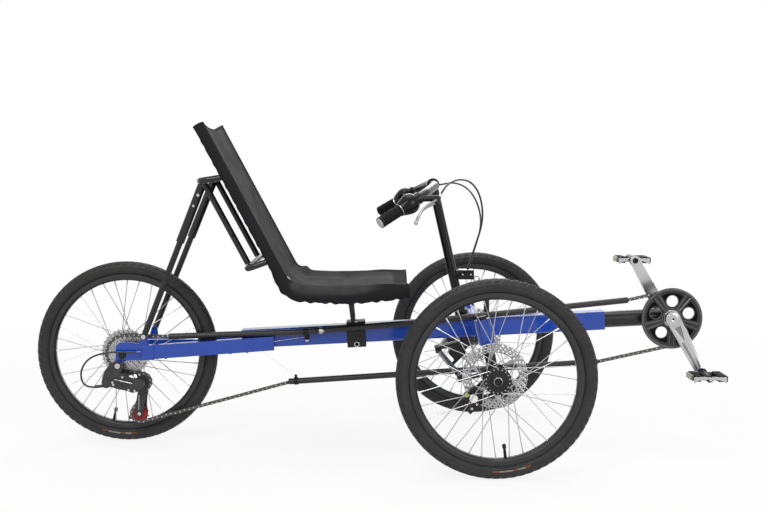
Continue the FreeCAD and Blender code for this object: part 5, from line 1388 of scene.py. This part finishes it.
# ------------------------------------------------------------------ chain and derailleur
class Drive:
    """The chain with bright plates, its guide tubes and the derailleur."""

    AXLE = Station.at(REAR_STATION, 0.0, WHEEL_RADIUS)

    def build(self) -> None:
        """Makes the drive parts that the frame carries."""
        self._chain()
        refine("chain_tubes", TUBE_PLASTIC, 0.0004)
        refine("derailleur", DERAILLEUR_BLACK, 0.0016)
        self._cage()
        self._derailleur_details()
        log.info("drive")

    @staticmethod
    def _chain() -> None:
        """The chain: bright pin heads on grey plates, with the links' other faces darker."""
        made = refine("chain", CHAIN_DARK)
        line, half_inner, half_outer = -0.040, 0.00155, 0.0033
        # the plates' side faces get grey steel; every other face of the links stays darker
        Workshop.paint(made, [CHAIN_STEEL],
                       lambda face: abs(face.center.y - line) > half_inner and abs(face.normal.y) > 0.9)
        pins = []
        for face in made.data.polygons:
            away = face.center.y - line
            if abs(away) > half_outer and abs(face.normal.y) > 0.9:
                spots = [made.data.vertices[k].co for k in face.vertices]
                far = max(spots, key=lambda spot: (spot - spots[0]).length)
                near = max(spots, key=lambda spot: (spot - far).length)
                along = (far - near).normalized() * 0.00635
                outward = Vector((0, math.copysign(0.0004, away), 0))
                for end in (face.center + along, face.center - along):
                    pins.append(Workshop.cylinder(end, end + outward, 0.0019, sides=6))
        Workshop.piece("chain_pin_heads", pins, BRUSHED_STEEL, "frame", SLOT_OF["chain"])

    def _near(self, x: float, z: float, y: float) -> Vector:
        """A point given from the rear axle in millimetres."""
        return self.AXLE + Vector((x, y, z)) / 1000

    def _cage(self) -> None:
        """The cage in black with its lower jockey wheel in red and the upper one in black."""
        made = refine("derailleur_cage", DERAILLEUR_BLACK, 0.0003)
        centre = self._near(38, -162, -40)
        Workshop.paint(made, [RED_PLASTIC], lambda face: (face.center - centre).xz.length < 0.0275
                       and abs(face.center.y - centre.y) < 0.0026)

    def _derailleur_details(self) -> None:
        """Bolts, limit screws, two thin bright rods as painted highlights along edges, and the dark spring of the
        derailleur.
        """
        face, cage_face = (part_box(node)[0].y * 1000 for node in ("derailleur", "derailleur_cage"))
        bolt = [(0, 1.2), (3.4, 1.2), (3.4, 2.4), (6.0, 2.4), (7.0, 1.6), (7.2, -0.5)]
        small = [(0, 1.6), (2.4, 1.5), (3.2, 0.7), (3.2, -0.5)]
        bright = [Workshop.lathe(bolt, self._near(-10, -26, face), RIGHT, 28)]
        for x, z in ((-24, -70), (-22, -76), (2, -56), (34, -92), (18, -90)):
            bright.append(Workshop.lathe(small, self._near(x, z, face + 3.0), RIGHT, 16))
        for x, z in ((38, -162), (46, -76)):
            bright.append(Workshop.lathe([(0, 1.5), (3.0, 1.4), (4.2, 0.6), (4.2, -0.4)],
                                         self._near(x, z, cage_face), RIGHT, 20))
        # painted highlights: two thin bright rods along edges of the body and the cage
        bright.append(Workshop.cylinder(self._near(-18, -62, face + 2.4), self._near(28, -72, face + 2.4), 0.0011,
                                        sides=8))
        bright.append(Workshop.cylinder(self._near(38, -110, cage_face - 0.2), self._near(37, -150, cage_face - 0.2),
                                        0.0011, sides=8))
        Workshop.piece("derailleur_bolts_and_highlights", bright, BRUSHED_STEEL, "frame", "bare_steel")
        line = [self._near(-14 + 2.64 * k, -64 - 1.1 * k, face + 1.0) for k in range(11)]
        Workshop.piece("derailleur_spring", Workshop.rod(line, 0.0024, 8), DERAILLEUR_BLACK, "frame",
                       SLOT_OF["derailleur"])


TUBE_PLASTIC = Finish("chain_tube_plastic", grey(0.014), grey(0.024), 0.34, 0.14, patch=14.0, grain=800.0,
                      specular=0.35)
CHAIN_DARK = Finish("dark_link_steel", (0.05, 0.048, 0.044), (0.022, 0.021, 0.019), 0.36, 0.2, metallic=1.0,
                    patch=200.0, grain=1500.0)
DERAILLEUR_BLACK = Finish("derailleur_black", grey(0.020), grey(0.034), 0.38, 0.14, patch=40.0, grain=1500.0,
                          relief=0.000008, specular=0.4)


# ------------------------------------------------------------------ frame details
DIAL_ALLOY = Finish("bright_dial_alloy", grey(0.82), grey(0.76), 0.3, 0.08, metallic=1.0, relief=0.000002)


class Frame:
    """Bolts, sleeves, clips, bosses and the brakes' small parts on the frame and knuckles."""

    BOLT = ((0, 1.2), (2.4, 1.2), (2.4, 2.2), (4.6, 2.2), (5.6, 1.4), (5.8, -0.4))

    def build(self) -> None:
        """Makes the frame's small parts."""
        self._dropout_sleeves()
        self._rear_bolts()
        self._tube_fittings()
        self._clamp_bolts()
        self._seat_fittings()
        for name, side in SIDES:
            self._caliper(name, side)
            self._head_bracket(name, side)
        log.info("frame details")

    @staticmethod
    def _bolt(place: Vector, axis: Vector, size: float, steps: int = 24) -> Shape:
        """A bolt head with a round socket.

        Args:
            place: where the head sits.
            axis: which way it faces.
            size: its scale; 1 has a radius of 5.8 mm.
            steps: how many steps round.

        Returns:
            The head's shape.
        """
        return Workshop.lathe([(r * size, h * size) for r, h in Frame.BOLT], place, axis, steps)

    def _dropout_sleeves(self) -> None:
        """The sleeve where a dropout plate is welded round the end of its stay."""
        for name, side in SIDES:
            nose = Station.at(-562, side * 34.6, 272.5)
            tail = Station.at(-886.5, side * 62.1, 250.8)
            back = (tail - nose).normalized()
            up = (back * DOWN.dot(back) - DOWN).normalized()
            turn = Matrix((back, up.cross(back), up)).transposed().to_4x4()
            middle = tail + back * 0.008 + Vector((0, side * 0.0015, 0))
            shapes = [Workshop.box((length, 0.0215 + grow, 0.0385 + grow), middle + back * along, turn)
                      for length, along, grow in ((0.036, 0, 0), (0.0022, -0.0175, 0.0015), (0.0022, 0.0155, 0.0010))]
            Workshop.piece(f"{name}_dropout_sleeve", shapes, BLUE_PAINT, "frame", SLOT_OF[f"{name}_dropout"],
                           edge=0.0016, segments=3)

    def _rear_bolts(self) -> None:
        """The bolts at the feet and near the tops of the seat stays."""
        shapes = []
        for _, side in SIDES:
            shapes.append(self._bolt(Station.at(-899, side * 92.2, 295), LEFT * side, 1.05))
            shapes.append(self._bolt(Station.at(-763, side * 111.1, 640), LEFT * side, 0.6, 16))
        Workshop.piece("rear_bolts", shapes, BRUSHED_STEEL, "frame", "bare_steel")

    def _tube_fittings(self) -> None:
        """Chain tube clips, the wire from the stay, bosses under the stay and the tube's end band."""
        bright = [self._bolt(Station.at(-474, -25.2, 280.5), RIGHT, 1.0),
                  Workshop.cylinder(Station.at(-618, -47, 270), Station.at(-504, -41, 186), 0.0006, sides=8),
                  Workshop.cylinder(Station.at(-618, -47, 270), Station.at(-480, -27.6, 288), 0.0006, sides=8)]
        for eye in ((-618, -47, 270), (-504, -41, 187)):
            bright.append(Workshop.lathe([(2.2, -0.6), (3.4, -0.6), (3.4, 0.6), (2.2, 0.6), (2.2, -0.6)],
                                         Station.of(eye), LEFT, 18))
        place = Station.at(-481, -40, 304)
        along = (Station.at(-203, -40, 329) - place).normalized()
        bright.append(Workshop.lathe([(8.1, 0), (9.0, 0), (9.0, 9), (8.1, 9), (8.1, 0)], place + along * 0.040,
                                     along, 32))
        bright.append(self._bolt(Station.at(-430, -49.2, 307.8), RIGHT, 0.5, 14))
        Workshop.piece("tube_clips_bright", bright, BRUSHED_STEEL, "frame", "bare_steel")
        dark = [Workshop.lathe([(8.1, -3), (9.9, -3), (9.9, 10), (8.1, 10), (8.1, -3)], place, along, 32),
                Workshop.box((0.012, 0.006, 0.020), Station.at(-474, -28.4, 291))]
        low_along = (Station.at(-150, -40, 196) - Station.at(-522, -40, 170)).normalized()
        low_place = Station.at(-508, -40, 171)
        dark.append(Workshop.lathe([(8.1, 0), (9.8, 0), (9.8, 12), (8.1, 12), (8.1, 0)], low_place, low_along, 32))
        dark.append(Workshop.box((0.007, 0.004, 0.010), Station.at(-503, -40, 184)))
        for boss in ((-677, -44.3, 246.6), (-633, -40.6, 249.5), (-846, -58.7, 235.2)):
            dark.append(Workshop.lathe([(0, 3.4), (2.4, 3.2), (3.4, 2.4), (3.6, -0.6)], Station.of(boss), DOWN, 16))
        Workshop.piece("tube_clips_black", dark, MOULDED_BLACK, "frame", "cable_housing", edge=0.0005)

    def _clamp_bolts(self) -> None:
        """The cross bolt of the seat clamp in its bright ring and the bolt at the post's foot."""
        face = Station.at(-341, -30.2, 269.5)
        ring = Workshop.lathe([(4.9, -0.3), (5.0, 0.9), (6.2, 1.2), (7.2, 0.6), (7.3, -0.3), (4.9, -0.3)], face,
                              RIGHT, 32)
        dome = Workshop.lathe([(0, 5.0), (3.2, 4.4), (4.8, 2.4), (5.2, 0), (5.2, -2)],
                              Station.at(-343.5, -24.5, 329), RIGHT, 24)
        Workshop.piece("clamp_bolt_bright", [ring, dome], BRUSHED_STEEL, "frame", "bare_steel")
        head = Workshop.lathe([(0, -0.2), (2.2, -0.2), (2.2, 1.0), (4.6, 1.2), (4.9, 0.4), (4.9, -0.4)], face,
                              RIGHT, 24)
        Workshop.piece("clamp_bolt_head", head, MOULDED_BLACK, "frame", "bare_steel")

    def _seat_fittings(self) -> None:
        """The pins with their bolts at the tops of the stays, and the bolts on the struts."""
        bright, dark = [], []
        for _, side in SIDES:
            outward = LEFT * side
            for x, z in ((-687, 622), (-660, 565)):
                dark.append(self._bolt(Station.at(x, side * 130.1, z), outward, 0.6, 16))
            pin = Station.at(-750, side * 102.0, 668)
            dark.append(Workshop.cylinder(pin, pin + outward * 0.015, 0.0052, sides=20))
            bright.append(self._bolt(pin + outward * 0.015, outward, 0.75))
        Workshop.piece("seat_bolts", bright, BRUSHED_STEEL, "frame", "bare_steel")
        Workshop.piece("seat_pins", dark, MOULDED_BLACK, "frame", "bare_steel")

    def _caliper(self, name: str, side: int) -> None:
        """The caliper's flat pad dial, its screws and the coloured boot at the cable."""
        body = f"{name}_knuckle"
        low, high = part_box(f"{name}_caliper")
        outward = LEFT * side
        centre = Vector((low.x + 0.47 * (high.x - low.x), (high if side > 0 else low).y,
                         low.z + 0.60 * (high.z - low.z)))
        knob = Workshop.lathe([(0, 0.3), (3.0, 0.3), (3.2, 0.8), (8.6, 0.9), (9.8, 0.7), (10.4, 0.2), (10.4, -0.8)],
                              centre, outward, 36)
        Workshop.piece(f"{name}_caliper_dial", knob, DIAL_ALLOY, body, "silver_alloy")
        screws = [Workshop.lathe([(0, 0.4), (2.7, 0.4), (3.0, 0.1), (3.0, -5.5), (0, -5.5)],
                                 centre + Vector((dx, 0, dz)), outward, 16)
                  for dx, dz in ((-0.016, 0.012), (0.008, -0.014), (-0.004, -0.025))]
        Workshop.piece(f"{name}_caliper_screws", screws, SILVER_ALLOY, body, "silver_alloy", edge=0.0003)
        tip = Workshop.box((0.010, 0.008, 0.009), centre + Vector((-0.017, -side * 0.002, 0.008)))
        Workshop.piece(f"{name}_caliper_boot", tip, YELLOW_PLASTIC, body, "control_plastic", edge=0.0022, segments=3)

    def _head_bracket(self, name: str, side: int) -> None:
        """The bolt where the knuckle hangs from the king pin head."""
        bolt = self._bolt(Station.at(0, side * 304, 287), LEFT * side, 0.8, 20)
        Workshop.piece(f"{name}_head_bolts", bolt, BRUSHED_STEEL, f"{name}_knuckle", "bare_steel")


# ------------------------------------------------------------------ cords
@dataclass
class Cord:
    """A housing that hangs along its route between a gripped end and another part.

    Attributes:
        name: the piece's name.
        route: the route's points as millimetre stations.
        radius: the housing's radius in millimetres.
        length: its real length in metres; not used.
        body: what carries it.
        nodes: the frame nodes it stands for.
    """

    name: str
    route: list
    radius: float
    length: float
    body: str
    nodes: tuple = ()

    def build(self) -> None:
        curve = bpy.data.curves.new(self.name, "CURVE")
        curve.dimensions = "3D"
        curve.bevel_depth = self.radius / 1000
        curve.bevel_resolution = 5
        curve.resolution_u = 12
        curve.use_fill_caps = True
        spline = curve.splines.new("NURBS")
        spline.points.add(len(self.route) - 1)
        for control, place in zip(spline.points, self.route):
            control.co = (*Station.of(place), 1.0)
        spline.order_u = 3
        spline.use_endpoint_u = True
        made = in_scene(self.name, curve)
        curve.materials.append(HOUSING_BLACK.material())
        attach(made, self.body)
        if self.nodes:
            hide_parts(*self.nodes)
        tuple(Station.of(self.route[0]))


class Cords:
    """The brake cables in front of the column and the shift cable at the rear wheel."""

    LOOPS = {-1: ((-112, 196, 704), (-80, 150, 716), (-44, 104, 706), (-18, 64, 668), (-8, 36, 606), (-26, 16, 536)),
             1: ((-108, 192, 692), (-74, 146, 700), (-38, 100, 684), (-14, 60, 642), (-6, 36, 586), (-26, 18, 528))}
    SHIFT_BENDS = ((-952, -87.5, 254), (-1000, -87.5, 253), (-1044, -87.5, 238), (-1066, -84.5, 205),
                   (-1064, -81.5, 172))

    def build(self) -> None:
        """Makes the three cords."""
        for (name, side), length in zip(SIDES, (0.428, 0.407)):
            way, pivot = cable_way(side), lever_pivot(side)
            bends = [Vector((x, side * y, z)) for x, y, z in self.LOOPS[side]]
            route = [pivot + way * 18.9, pivot + way * 30.9, *bends, Vector((-46, side * 8, 468.9))]
            Cord(f"{name}_brake_cable", route, 2.5, length, "steering",
                 ("control_cables",) if side < 0 else ()).build()
        reach = Vector((-1, 0, -0.12)).normalized()
        mouth = Vector((-1004, -80.3, 163)) + reach * 26.3
        route = [Vector((-918.3, -87.5, 254)), *(Vector(bend) for bend in self.SHIFT_BENDS), mouth + reach * 16, mouth]
        Cord("shift_housing", route, 2.5, 0.234, "frame", ("shift_cable",)).build()
        log.info("cords")


# finishes and edge roundings of the nodes whose own shapes show
PLAIN_NODES = (
    (BLUE_PAINT, 0.0, ("main_tube", )),
    (BLACK_PAINT, 0.0006, ("head_tube", )),
    (BLUE_PAINT, 0.0008, ("right_outrigger", "left_outrigger")),
    (BLACK_PAINT, 0.0008, ("boom", )),
    (BLUE_PAINT, 0.0, ("right_chainstay", "left_chainstay")),
    (BLUE_PAINT, 0.0008, ("right_dropout", "left_dropout")),
    (BLACK_PAINT, 0.0, ("right_seat_rail", "left_seat_rail", "seat_crossbars", "seat_hoops")),
    (BLACK_PAINT, 0.0006, ("seat_struts", "seat_stays")),
    (BLACK_ALLOY, 0.0015, ("seat_clamp", )),
    (BLACK_PAINT, 0.0008, ("seat_post", )),
    (BLACK_PAINT, 0.0006, ("accessory_post", )),
    (BLACK_ALLOY, 0.0008, ("right_knuckle", "left_knuckle", "right_caliper", "left_caliper", "pitman_arm")),
    (BLACK_PAINT, 0.0004, ("right_tie_rod", "left_tie_rod")),
)


# ------------------------------------------------------------------ studio
class Studio:
    """The pale room, its soft light and the camera."""

    CAMERA_AT = Vector((0.0061, -3.2763, 0.7832))
    PITCH = 0.0849
    YAW = 0.0042
    ROLL = 0.0073
    LENS = 57.53

    def build(self) -> None:
        """Makes the room, lights and camera and sets the view."""
        self._room()
        self._lights()
        self._camera()
        scene = bpy.context.scene
        scene.view_settings.view_transform = "Standard"
        world = bpy.data.worlds.new("soft_room")
        scene.world = world
        world.use_nodes = True
        wiring, nodes = Wiring(world.node_tree), world.node_tree.nodes
        back = wiring.feed(nodes["Background"], {"Color": (*WHITE, 1.0), "Strength": 0.34})
        seen = wiring.add("Background", {"Color": (*WHITE, 1.0), "Strength": 1.0})
        pick = wiring.add("MixShader", {"Fac": self._looked_at(wiring), 1: back.outputs["Background"],
                                        2: seen.outputs["Background"]})
        wiring.feed(nodes["World Output"], {"Surface": pick.outputs["Shader"]})

    @staticmethod
    def _looked_at(wiring: Wiring) -> bpy.types.NodeSocket:
        """One for a straight, mirrored or clear look at the room, nought for its light.

        Args:
            wiring: the tree that asks.

        Returns:
            The socket that gives the number.
        """
        path = wiring.add("LightPath", {})
        last = path.outputs["Is Camera Ray"]
        for label in ("Is Glossy Ray", "Is Transmission Ray"):
            last = wiring.add("Math", {0: last, 1: path.outputs[label]}, operation="MAXIMUM").outputs[0]
        return last

    def _room(self) -> None:
        """A white floor that keeps the shadow; beyond it the white world shows."""
        shape = bmesh.new()
        bmesh.ops.create_grid(shape, x_segments=1, y_segments=1, size=6.0)
        mesh = bpy.data.meshes.new("studio_floor")
        shape.to_mesh(mesh)
        shape.free()
        floor = in_scene("studio_floor", mesh)
        mesh.materials.append(self._floor_material())

    @staticmethod
    def _floor_material() -> bpy.types.Material:
        """White paper: it takes the shadow and, seen straight, is lifted to plain white."""
        made = bpy.data.materials.new("studio_paper")
        made.use_nodes = True
        wiring, nodes = Wiring(made.node_tree), made.node_tree.nodes
        paper = wiring.feed(nodes["Principled BSDF"], {"Base Color": (*grey(0.80), 1.0), "Roughness": 0.9,
                                                       "Specular IOR Level": 0.0})
        glow = wiring.add("Emission", {"Strength": 1.0})
        place = wiring.add("TexCoord", {})
        away = wiring.add("VectorMath", {0: place.outputs["Object"]}, operation="LENGTH")
        share = wiring.add("MapRange", {"From Min": 1.3, "From Max": 2.8, "To Min": 0.84, "To Max": 1.0,
                                        "Value": away.outputs["Value"]})
        amount = wiring.add("Math", {0: share.outputs["Result"], 1: Studio._looked_at(wiring)},
                            operation="MULTIPLY")
        mix = wiring.add("MixShader", {"Fac": amount.outputs[0], 1: paper.outputs["BSDF"],
                                       2: glow.outputs["Emission"]})
        wiring.feed(nodes["Material Output"], {"Surface": mix.outputs["Shader"]})
        return made

    @staticmethod
    def _lights() -> None:
        """Two large soft lamps in front, one above and one behind."""
        rows = (("key", (-1.6, -3.6, 3.2), 2.2, 105.0), ("fill", (2.6, -3.2, 1.9), 2.0, 62.0),
                ("top", (0.1, 0.2, 3.6), 2.6, 52.0), ("back", (0.4, 3.4, 2.6), 2.4, 60.0))
        for name, place, size, power in rows:
            lamp = bpy.data.lights.new(f"{name}_lamp", "AREA")
            lamp.shape = "SQUARE"
            lamp.size = size
            lamp.energy = power
            made = in_scene(f"{name}_lamp", lamp)
            aim = Vector((0.0, 0.0, 0.4)) - Vector(place)
            made.matrix_world = Matrix.Translation(place) @ aim.to_track_quat("-Z", "Y").to_matrix().to_4x4()

    def _camera(self) -> None:
        """The camera at the right side, a little above the seat."""
        ahead = Vector((math.sin(self.YAW), math.cos(self.YAW), 0))
        right = Vector((math.cos(self.YAW), -math.sin(self.YAW), 0))
        up = -DOWN
        view = ahead * math.cos(self.PITCH) - up * math.sin(self.PITCH)
        top = up * math.cos(self.PITCH) + ahead * math.sin(self.PITCH)
        across = right * math.cos(self.ROLL) + top * math.sin(self.ROLL)
        top = top * math.cos(self.ROLL) - right * math.sin(self.ROLL)
        data = bpy.data.cameras.new("studio_camera")
        data.lens = self.LENS
        data.sensor_width = 36.0
        made = in_scene("studio_camera", data)
        turn = Matrix((across, top, -view)).transposed().to_4x4()
        made.matrix_world = Matrix.Translation(self.CAMERA_AT) @ turn
        bpy.context.scene.camera = made


def main() -> None:
    """Builds every sub-assembly and the studio."""
    logging.basicConfig(level=logging.INFO, format="%(name)s: %(message)s")
    Studio().build()
    Cords().build()
    Wheels().build()
    for finish, edge, nodes in PLAIN_NODES:
        for node in nodes:
            refine(node, finish, edge)
    SeatCover().build()
    Cockpit().build()
    Cranks(axle=Station.at(495.0, 0.0, 347.4), reach=Vector((0.0800, 0.0, -0.1443))).build()
    Drive().build()
    Frame().build()
    log.info("all pieces made")


if __name__ == "__main__":
    main()
